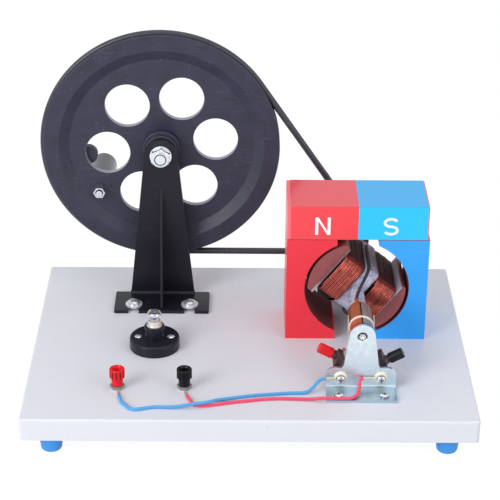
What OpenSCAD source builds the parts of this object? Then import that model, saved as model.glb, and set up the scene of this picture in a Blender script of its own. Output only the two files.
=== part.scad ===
// Hand crank generator model: flywheel, belt, armature between magnet poles, lamp and posts on a board.
// Millimetres, +X right, +Y away from the front edge, +Z up, origin under the middle of the whole object.

/* [Board] */
// Board width, left to right
board_w = 320; // [260:1:400]
// Board depth, front to back
board_d = 230; // [200:1:300]
// Board thickness
board_t = 17; // [10:0.5:30]
// Upright corner radius of the board
board_r = 3; // [1:0.5:10]
// Chamfer along the top edges
board_c = 0.8; // [0.2:0.1:3]

/* [Feet] */
// Height of a rubber foot
foot_h = 15; // [8:0.5:25]
// Foot radius at the board
foot_r = 9; // [6:0.5:14]
// Foot radius at the floor
foot_low_r = 7.5; // [5:0.5:12]
// Foot centre, distance from the board's side
foot_in_x = 20.5; // [14:0.5:60]
// Foot centre, distance from the board's front and back
foot_in_y = 14.5; // [12:0.5:60]

/* [Flywheel] */
// Wheel axle, left or right of the board's middle
wheel_x = -67.5; // [-90:0.5:-50]
// Axle height over the board
wheel_z = 120; // [100:0.5:150]
// Front face of the rim, behind the board's middle
wheel_y = 80; // [74:0.5:90]
// Rim outer radius
wheel_r = 90; // [70:0.5:110]
// Rim width along the axle
rim_w = 11; // [9:0.5:16]
// Width of the flat ring at the rim
ring_w = 12; // [8:0.5:20]
// Width of the sloping step inside the ring
step_w = 8; // [4:0.5:14]
// Depth of the dished web behind the rim face
dish = 4; // [2:0.5:5]
// Web thickness
web_t = 4.5; // [3:0.5:6]
// Radius of the six holes
hole_r = 17; // [10:0.5:20]
// Pitch radius of the six holes
hole_pitch = 41.5; // [36:0.5:46]
// Turn of the hole pattern, from +X towards +Z
hole_turn = 8; // [0:1:59]
// Hub radius
hub_r = 14; // [11:0.5:18]

/* [Crank handle] */
// Distance of the grip's axis inside the dished step
crank_in = 8.5; // [7:0.5:11]
// How far the balance weight lies inside the middle of the band between the holes and the web's edge
weight_in = 6.75; // [5:0.25:7]
// Grip radius
grip_r = 10.5; // [7:0.5:14]
// Grip length, with its round end
grip_l = 48.8; // [40:0.2:70]

/* [Belt drive] */
// Belt cord radius
belt_r = 2.5; // [1.5:0.1:3]
// Pitch radius of the belt on the small pulley
pulley_r = 12.5; // [9:0.5:20]
// Space between belt and groove
belt_gap = 0.3; // [0.2:0.05:0.5]

/* [Wheel stand] */
// Foot width of the stand
stand_w = 73; // [60:1:90]
// Foot depth of the stand
stand_d = 31; // [28:1:45]
// Width of the upright at the board
stand_low_w = 50; // [40:1:70]
// Radius of the upright's round top
stand_top_r = 12.5; // [11:0.5:18]
// Sheet thickness of the stand
stand_t = 2.5; // [1.5:0.5:4]
// Distance between the two stand screws
stand_pitch = 43; // [40:1:60]

/* [Magnet] */
// Armature axis, left or right of the board's middle
arm_x = 79; // [60:0.5:95]
// Armature axis height over the board
arm_z = 42.5; // [40:0.5:50]
// Width over both pole blocks
pole_w = 104.4; // [95:0.2:120]
// Depth of the pole blocks
pole_d = 46; // [36:1:56]
// Height of the pole blocks
pole_h = 83; // [80:0.5:100]
// Gap between the pole blocks
pole_gap = 30.6; // [24:0.2:40]
// Radius of the bore between the poles
bore_r = 38.5; // [37.5:0.1:40]
// Width of the bar on top
bar_w = 103; // [90:0.5:120]
// Height of the bar on top
bar_h = 26.3; // [18:0.1:36]

/* [Armature] */
// Radius over the armature shoes
arm_r = 36.3; // [34:0.1:37]
// Turn of the armature at rest, from +X towards +Z
arm_turn = 142; // [90:1:180]
// Half thickness of the core's web
core_web = 12; // [9:0.5:13]
// Distance from the axis to a shoe's inner face
shoe_in = 25.4; // [24.8:0.1:27]
// Half width of a shoe, across the arm
shoe_t = 22.5; // [20:0.5:24]
// Half thickness of the grey wrap, along the arm
wrap_s = 5.8; // [5:0.1:6]
// Half height of the grey wrap, across the arm
wrap_t = 18.4; // [17.6:0.1:20]
// Shaft radius
shaft_r = 3; // [2.5:0.1:4]
// Coil build at each side of the web
coil_b = 3.2; // [2.6:0.2:4]
// Turns in the outer layer of each coil
turns = 13; // [6:1:13]
// Wire radius of the outer layer
wire_r = 0.4; // [0.3:0.02:0.42]

/* [Commutator] */
// Radius of the commutator segments
com_r = 8.5; // [7.5:0.1:8.6]
// Length of the commutator segments
com_l = 31; // [24:0.5:32]
// Width of the slits between the segments
com_slit = 1.2; // [0.6:0.1:2]

/* [Front bracket] */
// Front face of the bracket's upright, before the board's middle
br_y = 71.5; // [68:0.5:76]
// Height of the bracket's shoulders over the board
br_h = 17; // [15:0.5:19]
// Bracket width
br_w = 50; // [46:1:56]
// Depth of the bracket's foot before the upright
br_foot = 19.5; // [17:0.5:24]
// Sheet thickness of both brackets
br_t = 2; // [1:0.5:3]

/* [Brush gear] */
// Upward slope of the thumb caps
cap_tilt = 28; // [20:1:36]
// Thumb cap radius
thumb_r = 3.9; // [3:0.1:4.5]
// Thumb cap length
thumb_l = 11.5; // [9:0.5:14]
// Space between brush and commutator
brush_gap = 0.3; // [0.2:0.05:0.6]

/* [Lamp] */
// Lamp position, left or right of the board's middle
lamp_x = -70.3; // [-80:0.1:-60]
// Lamp position, before or behind the board's middle
lamp_y = -12.5; // [-30:0.5:0]
// Lamp holder radius
lamp_r = 18.5; // [15:0.5:22]
// Bulb globe radius
globe_r = 5.6; // [5:0.1:6]

/* [Binding posts] */
// Distance between the two posts
post_pitch = 47.7; // [40:0.1:60]
// Distance of the posts before the board's middle
post_y = 72.5; // [60:0.5:90]
// Post cap radius at the top
cap_r = 5.5; // [5:0.1:7]
// Radius of the plug socket
socket_r = 2.05; // [2.02:0.01:2.1]

/* [Leads] */
// Radius of the two leads
lead_r = 1.15; // [0.8:0.05:1.5]

/* [Hidden] */
// Fineness of round faces
$fn = 96;
// Every sub-part by name
// Sub-part to draw
// Height of the board's top face
top_z = foot_h + board_t;
// Back of the wheel web
web_back = wheel_y + dish + web_t;
// Front end of the grip
grip_y = web_back + 3.7;
// Shift that brings the middle of the whole depth to the origin
shift_y = (board_d / 2 - grip_y - grip_l) / 2;
// Middle plane of the belt
belt_y = wheel_y + rim_w / 2;
// Back face of the stand's upright
stand_y = wheel_y - 12;
// Front and back ends of the wheel hub
hub_y0 = wheel_y - 6;
hub_y1 = wheel_y + 17;
// Axle radius
axle_r = 5;
// Radial play of a turning shaft
play = 0.06;
// Distance of the grip's axis from the axle
crank_r = wheel_r - ring_w - step_w - crank_in;
// Angle of the crank on the wheel, midway between two holes
crank_a = hole_turn + 210;
// Angle of the balance weight on the wheel
weight_a = hole_turn + 182;
// Distance of the balance weight from the axle
weight_pitch = (hole_pitch + hole_r + wheel_r - ring_w - step_w) / 2 - weight_in;
// Belt pitch radius on the wheel, at the rim's edge
belt_wheel_r = wheel_r;
// Belt centre line, from the axle to the shaft
belt_dx = arm_x - wheel_x;
belt_dz = arm_z - wheel_z;
// Distance between the belt's two centres
belt_l = norm([belt_dx, belt_dz]);
// Direction from the axle to the shaft
belt_dir = atan2(belt_dz, belt_dx);
// Angle between that direction and the belt's tangent points
belt_open = acos((belt_wheel_r - pulley_r) / belt_l);
// Length of a straight belt run
belt_run = sqrt(belt_l * belt_l - pow(belt_wheel_r - pulley_r, 2));
// Core length and its front end
core_y0 = 0.5;
core_y1 = pole_d - 0.5;
// Thickness of the liners at the shoes
liner_t = 1;
// Coil limits along the core's arm
coil_s0 = wrap_s + 0.3;
coil_s1 = shoe_in - liner_t - 0.3;
// Half sizes of the coil's outline, across the web and along the shaft
coil_t = core_web + coil_b;
coil_l = (core_y1 - core_y0) / 2 + coil_b + 0.3;
// Corner radius of the coil's outline
coil_c = coil_b + 1;
// Middle of the core along the shaft
core_m = pole_d / 2;
// Rise of the outer layer per turn
wind_p = (coil_s1 - coil_s0 - 2 * wire_r - 0.4) / turns;
// Start of the outer layer
wind_s = coil_s0 + wire_r + 0.2;
// Space from the coil's face to the middle of the wire
wind_off = wire_r + 0.2;
// Back end of the commutator
com_y = -35;
// Slit direction of the commutator, measured on the armature
com_a = 90 - arm_turn;
// Distance of the brush ears from the shaft, and their height over the board
ear_x = 13.6;
ear_z = 16.5;
// Brush stud, before the board's middle
ear_y = -56;
// Place of a brush stud on its ear, across it
function stud_x(s) = s > 0 ? 1.4 : 0;
// Place of a brush stud along the board
function stud_y(s) = s > 0 ? ear_y - 4.5 : ear_y;
// Front face of the rear bracket
rear_y = pole_d + 14;
// Foot screws of the front bracket, left and right of the shaft
br_screw = 16.2;
// Terminal screws, left and right of the shaft, and their height over the board
term_x = 14.4;
term_z = 9.2;
// Level of the lamp's globe over the board
globe_z = 25.6;
// Level where the globe meets its cap, under the globe's middle
globe_low = sqrt(globe_r * globe_r - 4.5 * 4.5);
// Turn of the posts' lugs towards the leads
lug_turn = 9;
// Corner points of the blue lead over the board, post to terminal
blue_path = [[-92.4, -84.2, 1.2], [-90, -92.8, 1.2], [-86.8, -97, 1.2], [-83.8, -101.2, 1.2],
    [-79.5, -102.6, 1.2], [-73, -100.8, 1.2], [-66, -99.3, 1.2], [-55.7, -99.6, 1.3], [-45, -99.4, 2.6],
    [-38.5, -98.8, 3.8], [-31.3, -97.6, 3.9], [-25.4, -94.5, 3.5], [-19.4, -89.8, 1.8], [-7.3, -85.7, 1.2],
    [4.9, -83, 1.2], [17.1, -81.4, 1.2], [28, -80, 1.2], [39, -79.5, 1.4], [44, -77.5, 3.4],
    [48.5, -75, 7.6], [51.5, -73.6, 9.2], [54.2, -73.3, 9.2]];
// Corner points of the red lead over the board, post to terminal
red_path = [[-44.5, -84.2, 1.2], [-42.4, -88.6, 1.2], [-40.3, -93.6, 1.2], [-36.6, -97.1, 1.2],
    [-31.3, -97.2, 1.2], [-25.3, -96, 1.2], [-13.3, -92.9, 1.2], [-1.2, -90.4, 1.2], [10.9, -88.1, 1.2],
    [23.1, -87.4, 1.2], [42, -88.5, 1.6], [51, -90, 3.3], [62, -90.4, 3.4], [70, -90, 3.4],
    [75, -86.6, 3.6], [77.3, -81.5, 5.4], [77.9, -77, 7.9], [78.6, -74.4, 9.1], [80.4, -73.4, 9.2]];
// Corner points of one armature lead, along arm, shaft and across
sleeve_path = [[wrap_s - 1.3, 34, -wrap_t - 1.4], [wrap_s - 1.3, 16, -wrap_t - 1.4],
    [wrap_s - 1.3, 2, -wrap_t - 1.4], [4.7, -5, 0.2 - wrap_t], [5.6, -13, -14.2], [6.9, -22, -10],
    [7.9, -30, -7.2], [8.1, -35.1, -6.4]];

// Points of a smooth curve through p, m steps for each stretch
function smooth(p, m) = [for (i = [0 : len(p) - 2]) for (k = [0 : m - 1]) let (
    a = p[max(i - 1, 0)], b = p[i], c = p[i + 1], d = p[min(i + 2, len(p) - 1)], u = k / m)
    0.5 * (2 * b + (c - a) * u + (2 * a - 5 * b + 4 * c - d) * u * u + (3 * b - a - 3 * c + d) * u * u * u),
    p[len(p) - 1]];
// Unit vector
function unit(v) = v / norm(v);
// Direction of travel at point i of p
function along(p, i) = unit(p[min(i + 1, len(p) - 1)] - p[max(i - 1, 0)]);
// Angle of the coil outline's normal at step j
function wind_a(j) = -90 + 90 * floor(j / 6) + (j % 6 == 0 ? 0 : (j % 6 - 1) * 22.5);
// Corner centre of the coil's outline at step j
function wind_c(j) = [j < 12 ? coil_t - coil_c : coil_c - coil_t,
    j < 6 || j > 17 ? coil_c - coil_l : coil_l - coil_c];
// Point of the coil's outline at step j, moved out by the wire's offset: across the web, along the shaft
function wind_q(j) = j % 6 == 0
    ? [cos(wind_a(j)) * (coil_t + wind_off), sin(wind_a(j)) * (coil_l + wind_off)]
    : wind_c(j) + (coil_c + wind_off) * [cos(wind_a(j)), sin(wind_a(j))];
// Middle line of a winding: straight entry, all turns, straight exit
function wind_p3(i) = let (q = wind_q(i % 24)) [wind_s + wind_p * i / 24, q[1] + core_m, q[0]];
// Every point of the winding's middle line
wind_path = concat([wind_p3(0) - [0, 0, 2 * wire_r]], [for (i = [0 : 24 * turns]) wind_p3(i)],
    [wind_p3(24 * turns) + [0, 0, 2 * wire_r]]);
// Outward direction at each of those points
wind_n = concat([[0, -1, 0]], [for (i = [0 : 24 * turns]) [0, sin(wind_a(i % 24)), cos(wind_a(i % 24))]],
    [[0, -1, 0]]);
// Least space between neighbouring turns
wind_gap = min([for (i = [0 : 24 * (turns - 1)]) for (k = [18 : 30])
    i + k <= 24 * turns ? norm(wind_p3(i) - wind_p3(i + k)) : 99]) - 2 * wire_r;
echo(winding_self_gap = wind_gap);

// Round tube through points p with outward directions nn and side directions bb
module tube(p, nn, bb, r, n) {
    m = len(p);
    pts = [for (i = [0 : m - 1]) for (k = [0 : n - 1])
        p[i] + r * (cos(360 * k / n) * nn[i] + sin(360 * k / n) * bb[i])];
    sides = [for (i = [0 : m - 2]) for (k = [0 : n - 1]) for (h = [0, 1])
        h == 0 ? [i * n + k, (i + 1) * n + k, (i + 1) * n + (k + 1) % n]
               : [i * n + k, (i + 1) * n + (k + 1) % n, i * n + (k + 1) % n]];
    caps = concat([for (k = [1 : n - 2]) [0, k, k + 1]],
        [for (k = [1 : n - 2]) [(m - 1) * n, (m - 1) * n + k + 1, (m - 1) * n + k]]);
    polyhedron(pts, concat(sides, caps));
}

// Free cord along corner points p
module cord(p, r, m) {
    q = smooth(p, m);
    nn = [for (i = [0 : len(q) - 1]) unit(cross(along(q, i), [0, 0, 1]))];
    bb = [for (i = [0 : len(q) - 1]) cross(along(q, i), nn[i])];
    tube(q, nn, bb, r, 8);
}

// Frame of the board's top face
module on_top() {
    translate([0, shift_y, top_z]) children();
}

// Round bar along Y from y0 to y1
module bar_y(x, z, r, y0, y1) {
    translate([x, y0, z]) rotate([-90, 0, 0]) cylinder(h = y1 - y0, r = r);
}

// Six-sided bar along Y
module hex_y(x, z, af, y0, y1) {
    translate([x, y0, z]) rotate([-90, 0, 0]) cylinder(h = y1 - y0, r = af / sqrt(3), $fn = 6);
}

// Pan head screw, head up, standing on z
module pan_screw(x, y, z, hr, hh, sr, sl) {
    translate([x, y, z]) {
        difference() {
            rotate_extrude() intersection() {
                translate([0, hh - hr * 1.6]) circle(hr * 1.6);
                square([hr, hh]);
            }
            translate([-hr * 0.62, -hr * 0.12, hh * 0.55]) cube([hr * 1.24, hr * 0.24, hh]);
            translate([-hr * 0.12, -hr * 0.62, hh * 0.55]) cube([hr * 0.24, hr * 1.24, hh]);
        }
        translate([0, 0, -sl]) cylinder(h = sl, r = sr);
    }
}

// Rounded rectangle from the origin's middle
module round_rect(w, d, r) {
    square([w - 2 * r, d], center = true);
    square([w, d - 2 * r], center = true);
    for (x = [-1, 1]) for (y = [-1, 1]) translate([x * (w / 2 - r), y * (d / 2 - r)]) circle(r);
}

// Frame of the armature, arm along X, shaft along Y
module on_arm() {
    on_top() translate([arm_x, 0, arm_z]) rotate([0, -arm_turn, 0]) children();
}

// Frame of a point on the wheel at radius r and angle a
module on_wheel(r, a) {
    on_top() translate([wheel_x + r * cos(a), 0, wheel_z + r * sin(a)]) children();
}

// Places of the four magnet screws
module each_magnet_screw() {
    for (s = [-1, 1]) for (y = [10, pole_d - 10])
        translate([arm_x + s * (pole_w / 2 - 9), y, 0]) children();
}

// Places of the two posts
module each_post() {
    for (s = [-1, 1]) translate([lamp_x + s * post_pitch / 2, -post_y, 0]) children();
}

// Places of the four feet
module each_foot() {
    for (x = [-1, 1]) for (y = [-1, 1])
        translate([x * (board_w / 2 - foot_in_x), shift_y + y * (board_d / 2 - foot_in_y), 0]) children();
}

// Frame of a brush ear, outward along Z, s is the side
module on_ear(s) {
    on_top() translate([arm_x, 0, 0]) {
        if (s > 0) translate([ear_x, 0, ear_z]) rotate([0, 90 - cap_tilt, 0]) children();
        if (s < 0) mirror([1, 0, 0]) translate([ear_x, 0, ear_z]) rotate([0, 90 - cap_tilt, 0]) children();
    }
}

// Places children on a brush stud; the right stud sits lower and further forward than the left
module on_stud(s) {
    on_ear(s) translate([stud_x(s), stud_y(s), 0]) children();
}

// Frame of a terminal screw, outward along Z, s is the side
module on_terminal(s) {
    on_top() translate([arm_x + s * term_x, -br_y, term_z]) rotate([90, 0, 0]) children();
}

module base_board() {
    color([0.84, 0.85, 0.89]) difference() {
        translate([0, shift_y, foot_h]) linear_extrude(board_t) round_rect(board_w, board_d, board_r);
        on_top() for (s = [-1, 1]) {
            translate([-board_w, s * board_d / 2, 0]) rotate([45, 0, 0])
                translate([0, -board_c, -board_c]) cube([2 * board_w, 2 * board_c, 2 * board_c]);
            translate([s * board_w / 2, -board_d, 0]) rotate([0, 45, 0])
                translate([-board_c, 0, -board_c]) cube([2 * board_c, 2 * board_d, 2 * board_c]);
        }
        each_foot() cylinder(h = foot_h + 10, r = 2);
        on_top() {
            for (s = [-1, 1]) {
                translate([wheel_x + s * stand_pitch / 2, stand_y - stand_d + 9.5, -14])
                    cylinder(h = 20, r = 2);
                translate([arm_x + s * br_screw, -13.5 - br_y, -12]) cylinder(h = 20, r = 1.5);
                translate([arm_x + s * 18, rear_y + 12, -12]) cylinder(h = 20, r = 1.5);
                translate([lamp_x + s * 12, lamp_y, -10]) cylinder(h = 20, r = 1.2);
            }
            each_magnet_screw() translate([0, 0, -board_t - 1]) cylinder(h = board_t + 2, r = 2.5);
            each_magnet_screw() translate([0, 0, -board_t - 1]) cylinder(h = 6, r = 5.5);
            each_post() translate([0, 0, -board_t - 1]) cylinder(h = board_t + 2, r = 2.5);
            each_post() translate([0, 0, -board_t - 1]) cylinder(h = 7, r = 6.5);
        }
    }
}

module rubber_feet() {
    color([0.13, 0.45, 0.85]) each_foot() difference() {
        rotate_extrude() union() {
            polygon([[0, 0], [foot_low_r - 2, 0], [foot_low_r, 2], [foot_r, foot_h], [0, foot_h]]);
            translate([foot_low_r - 2.1, 2.1]) circle(2.1);
        }
        translate([0, 0, -1]) cylinder(h = 6, r = 4.2);
        cylinder(h = foot_h + 1, r = 2);
    }
}

module foot_screws() {
    color([0.75, 0.76, 0.78]) each_foot() translate([0, 0, 5]) mirror([0, 0, 1])
        pan_screw(0, 0, 0, 3.8, 2.6, 2, foot_h + 4);
}

// Outline of an upright: half width at the foot, round top of radius r at height h
module upright(wb, h, r) {
    b = acos(r / norm([wb, h])) - atan2(h, wb);
    polygon([[-wb, 0], [wb, 0], [r * cos(b), h + r * sin(b)], [-r * cos(b), h + r * sin(b)]]);
    translate([0, h]) circle(r);
}

module wheel_stand() {
    color([0.1, 0.1, 0.12]) on_top() translate([wheel_x, 0, 0]) difference() {
        union() {
            translate([0, stand_y - stand_d / 2, 0]) linear_extrude(stand_t)
                round_rect(stand_w, stand_d, 1.5);
            translate([0, stand_y, 0]) rotate([90, 0, 0]) linear_extrude(stand_t)
                upright(stand_low_w / 2, wheel_z, stand_top_r);
            translate([-0.9, stand_y - 1, 0]) rotate([90, 0, 90]) linear_extrude(1.8)
                polygon([[0, 98], [0, 1], [3 - stand_d, 1], [3 - stand_d, 4]]);
            translate([-stand_low_w / 2, stand_y - stand_t, stand_t]) rotate([0, 90, 0])
                linear_extrude(stand_low_w) difference() {
                    translate([-2.5, -2.5]) square([3, 3]);
                    translate([-2.5, -2.5]) circle(2.5);
                }
        }
        for (s = [-1, 1]) {
            translate([s * stand_pitch / 2, stand_y - stand_d + 9.5, -1]) cylinder(h = 6, r = 4);
            translate([s * stand_pitch / 2 - 4, stand_y - stand_d - 1, -1]) cube([8, 10.5, 6]);
        }
        bar_y(0, wheel_z, axle_r, stand_y - 10, stand_y + 5);
    }
}

module stand_screws() {
    color([0.8, 0.81, 0.83]) on_top() for (s = [-1, 1])
        pan_screw(wheel_x + s * stand_pitch / 2, stand_y - stand_d + 9.5, stand_t + 1.2, 4.4, 3.4, 2, 16);
}

module stand_washers() {
    color([0.72, 0.73, 0.75]) on_top() for (s = [-1, 1])
        translate([wheel_x + s * stand_pitch / 2, stand_y - stand_d + 9.5, stand_t]) difference() {
            cylinder(h = 1.2, r = 6.5);
            translate([0, 0, -1]) cylinder(h = 4, r = 2);
        }
}

module axle_bolt() {
    color([0.78, 0.79, 0.8]) on_top() {
        bar_y(wheel_x, wheel_z, axle_r, stand_y - 11, hub_y1 + 1.8);
        hex_y(wheel_x, wheel_z, 16, hub_y1 + 1.8, hub_y1 + 7.8);
    }
}

module axle_nut() {
    color([0.72, 0.74, 0.76]) on_top() difference() {
        union() {
            bar_y(wheel_x, wheel_z, 8.2, stand_y - stand_t - 1.6, stand_y - stand_t);
            intersection() {
                translate([wheel_x, 0, wheel_z]) rotate([0, 35, 0])
                    hex_y(0, 0, 13.6, stand_y - stand_t - 7, stand_y - stand_t - 1);
                translate([wheel_x, stand_y - stand_t - 7, wheel_z]) rotate([-90, 0, 0])
                    cylinder(h = 12, r1 = 6.6, r2 = 18.6);
            }
        }
        bar_y(wheel_x, wheel_z, axle_r, stand_y - 20, stand_y);
    }
}

module axle_spacer() {
    color([0.2, 0.2, 0.22]) on_top() difference() {
        bar_y(wheel_x, wheel_z, 10.5, stand_y, hub_y0 - 0.3);
        bar_y(wheel_x, wheel_z, axle_r, stand_y - 1, hub_y0 + 1);
    }
}

module axle_washer() {
    color([0.7, 0.71, 0.73]) on_top() difference() {
        bar_y(wheel_x, wheel_z, 10, hub_y1 + 0.3, hub_y1 + 1.8);
        bar_y(wheel_x, wheel_z, axle_r, hub_y1 - 1, hub_y1 + 3);
    }
}

module flywheel() {
    r1 = wheel_r - ring_w;
    r2 = r1 - step_w;
    color([0.16, 0.16, 0.18]) difference() {
        on_wheel(0, 0) rotate([-90, 0, 0]) rotate_extrude() difference() {
            polygon([[7.5, hub_y0], [hub_r - 2.6, hub_y0], [hub_r - 2, hub_y0 + 0.6],
                [hub_r - 2, hub_y0 + 3.4], [hub_r - 0.6, hub_y0 + 3.4], [hub_r, hub_y0 + 4],
                [hub_r, wheel_y + dish], [r2, wheel_y + dish],
                [r1, wheel_y], [wheel_r - 0.6, wheel_y], [wheel_r, wheel_y + 0.6],
                [wheel_r, wheel_y + rim_w - 0.6], [wheel_r - 0.6, wheel_y + rim_w],
                [r1 + 2, wheel_y + rim_w], [r2 + 2, web_back], [hub_r, web_back], [hub_r, hub_y1],
                [7.5, hub_y1]]);
            translate([belt_wheel_r, belt_y]) circle(belt_r + belt_gap);
        }
        for (k = [0 : 5]) on_wheel(hole_pitch, hole_turn + 60 * k)
            bar_y(0, 0, hole_r, wheel_y - 5, wheel_y + 25);
        on_wheel(crank_r, crank_a) bar_y(0, 0, 2.5, wheel_y - 5, wheel_y + 25);
    }
    color([0.16, 0.16, 0.18]) difference() {
        on_wheel(crank_r, crank_a) bar_y(0, 0, 6.2, wheel_y + dish - 0.8, wheel_y + dish + 0.5);
        on_wheel(crank_r, crank_a) bar_y(0, 0, 2.5, wheel_y - 5, wheel_y + 25);
    }
}

module hub_bushes() {
    color([0.72, 0.5, 0.28]) for (y = [hub_y0, hub_y1 - 8]) on_wheel(0, 0) difference() {
        bar_y(0, 0, 7.5, y, y + 8);
        bar_y(0, 0, axle_r + play, y - 1, y + 9);
    }
}

module crank_pin() {
    color([0.7, 0.71, 0.73]) on_wheel(crank_r, crank_a) {
        bar_y(0, 0, 2.5, wheel_y + dish - 6.2, web_back);
        bar_y(0, 0, 7, web_back, grip_y - 0.4);
        bar_y(0, 0, 4, grip_y - 0.4, grip_y + grip_l - 14.5);
        bar_y(0, 0, 5.5, grip_y + grip_l - 14.5, grip_y + grip_l - 11);
    }
}

module crank_nut() {
    color([0.86, 0.87, 0.88]) on_wheel(crank_r, crank_a) difference() {
        hex_y(0, 0, 8, wheel_y + dish - 4.8, wheel_y + dish - 0.8);
        bar_y(0, 0, 2.5, wheel_y - 10, wheel_y + dish);
    }
}

module balance_weight() {
    color([0.14, 0.14, 0.16]) on_wheel(weight_pitch, weight_a) bar_y(0, 0, 7.2, web_back, web_back + 5);
}

module crank_grip() {
    color([0.85, 0.86, 0.88]) on_wheel(crank_r, crank_a) difference() {
        translate([0, grip_y, 0]) rotate([-90, 0, 0]) rotate_extrude() difference() {
            union() {
                square([grip_r, grip_l - grip_r]);
                intersection() {
                    translate([0, grip_l - grip_r]) circle(grip_r);
                    square([grip_r, grip_l]);
                }
            }
            translate([grip_r - 1, -1]) rotate(45) square([3, 3]);
        }
        bar_y(0, 0, 4 + play, grip_y - 1, grip_y + grip_l - 12);
        bar_y(0, 0, 6, grip_y + grip_l - 14.9, grip_y + grip_l - 10.6);
    }
}

// Belt arc about centre c, from angle a over w
module belt_arc(x, z, r, a, w) {
    translate([x, belt_y, z]) rotate([90, 0, 0]) rotate([0, 0, a])
        rotate_extrude(angle = w) translate([r, 0]) circle(belt_r - 0.02);
}

module drive_belt() {
    color([0.13, 0.13, 0.15]) on_top() {
        belt_arc(wheel_x, wheel_z, belt_wheel_r, belt_dir + belt_open, 360 - 2 * belt_open);
        belt_arc(arm_x, arm_z, pulley_r, belt_dir - belt_open, 2 * belt_open);
        for (s = [-1, 1]) translate([wheel_x + belt_wheel_r * cos(belt_dir + s * belt_open), belt_y,
                wheel_z + belt_wheel_r * sin(belt_dir + s * belt_open)])
            rotate([0, s * (90 - belt_open) - belt_dir + 90, 0]) translate([0, 0, -0.4])
                cylinder(h = belt_run + 0.8, r = belt_r);
    }
}

// One pole block, s is the side
module pole(s) {
    on_top() difference() {
        translate([s < 0 ? arm_x - pole_w / 2 : arm_x + pole_gap / 2, 0, 0])
            cube([(pole_w - pole_gap) / 2, pole_d, pole_h]);
        bar_y(arm_x, arm_z, bore_r, -1, pole_d + 1);
        each_magnet_screw() translate([0, 0, -1]) cylinder(h = 13, r = 2.5);
    }
}

module pole_north() {
    color([0.86, 0.16, 0.22]) pole(-1);
}

module pole_south() {
    color([0.16, 0.55, 0.92]) pole(1);
}

module magnet_bar() {
    color([0.9, 0.2, 0.26]) on_top() translate([arm_x - pole_w / 2, 0, pole_h]) cube([bar_w, pole_d, bar_h]);
}

module south_label() {
    color([0.1, 0.65, 0.95]) on_top() difference() {
        translate([arm_x - 0.5, -0.3, pole_h + 0.3]) cube([bar_w - pole_w / 2 - 0.3, pole_d + 0.6, bar_h]);
        translate([0, 0, pole_h - 5]) cube([board_w, pole_d, bar_h + 5]);
    }
}

module magnet_screws() {
    color([0.7, 0.71, 0.73]) on_top() each_magnet_screw() translate([0, 0, 5 - board_t]) mirror([0, 0, 1])
        pan_screw(0, 0, 0, 4.6, 3.6, 2.5, board_t + 6);
}

module armature_shaft() {
    color([0.74, 0.75, 0.77]) on_arm() difference() {
        union() {
            bar_y(0, 0, shaft_r, 0.2 - br_y, belt_y + 13);
            translate([0, -br_y - 0.4, 0]) rotate([-90, 0, 0])
                cylinder(h = 0.6, r1 = shaft_r - 0.6, r2 = shaft_r);
        }
        translate([0, -br_y - 0.5, 0]) rotate([-90, 0, 0]) cylinder(h = 1.2, r1 = 1.4, r2 = 0.2);
    }
}

module armature_core() {
    color([0.5, 0.2, 0.2]) on_arm() difference() {
        intersection() {
            bar_y(0, 0, arm_r, core_y0, core_y1);
            translate([-arm_r - 1, 0, -shoe_t]) cube([2 * arm_r + 2, pole_d, 2 * shoe_t]);
        }
        for (s = [-1, 1]) translate([-shoe_in, -1, s > 0 ? core_web : -core_web - 40])
            cube([2 * shoe_in, pole_d + 2, 40]);
        bar_y(0, 0, shaft_r, -1, pole_d + 1);
    }
}

module core_wrap() {
    color([0.62, 0.6, 0.68]) on_arm() difference() {
        union() {
            translate([-wrap_s, core_m, 0]) rotate([90, 0, 90]) linear_extrude(2 * wrap_s)
                round_rect(core_y1 - core_y0 + 5, 2 * wrap_t, 4);
            bar_y(0, 0, com_r - 3.5, com_y + 2, core_y0 - 1);
        }
        translate([-wrap_s - 1, core_y0, -core_web])
            cube([2 * wrap_s + 2, core_y1 - core_y0, 2 * core_web]);
        bar_y(0, 0, shaft_r, com_y, pole_d + 10);
    }
}

module slot_liners() {
    color([0.66, 0.65, 0.7]) on_arm() for (a = [0, 180]) rotate([0, a, 0]) difference() {
        translate([shoe_in - liner_t, core_y0 - 2, 0.5 - shoe_t])
            cube([liner_t, core_y1 - core_y0 + 4, 2 * shoe_t - 1]);
        translate([0, core_y0, -core_web])
            cube([shoe_in + 1, core_y1 - core_y0, 2 * core_web]);
    }
}

// One plain coil body under the outer layer of wire
module coil_core() {
    difference() {
        translate([coil_s0, core_m, 0]) rotate([90, 0, 90]) linear_extrude(coil_s1 - coil_s0)
            round_rect(2 * coil_l, 2 * coil_t, coil_c);
        translate([0, core_y0 - 0.2, -core_web - 0.1])
            cube([shoe_in, core_y1 - core_y0 + 0.4, 2 * core_web + 0.2]);
    }
}

module coil_cores() {
    color([0.45, 0.2, 0.12]) on_arm() for (a = [0, 180]) rotate([0, a, 0]) coil_core();
}

module coil_windings() {
    color([0.72, 0.36, 0.22]) on_arm() for (a = [0, 180]) rotate([0, a, 0])
        tube(wind_path, wind_n, [for (i = wind_path) [1, 0, 0]], wire_r, 6);
}

module armature_leads() {
    color([0.2, 0.2, 0.26]) on_arm() for (a = [0, 180]) rotate([0, a, 0])
        cord(sleeve_path, 1.25, 3);
}

module commutator_sleeve() {
    color([0.3, 0.18, 0.12]) on_arm() difference() {
        bar_y(0, 0, com_r - 1.5, com_y - com_l - 1, com_y + 2);
        bar_y(0, 0, shaft_r, com_y - com_l - 5, 0);
    }
}

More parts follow.
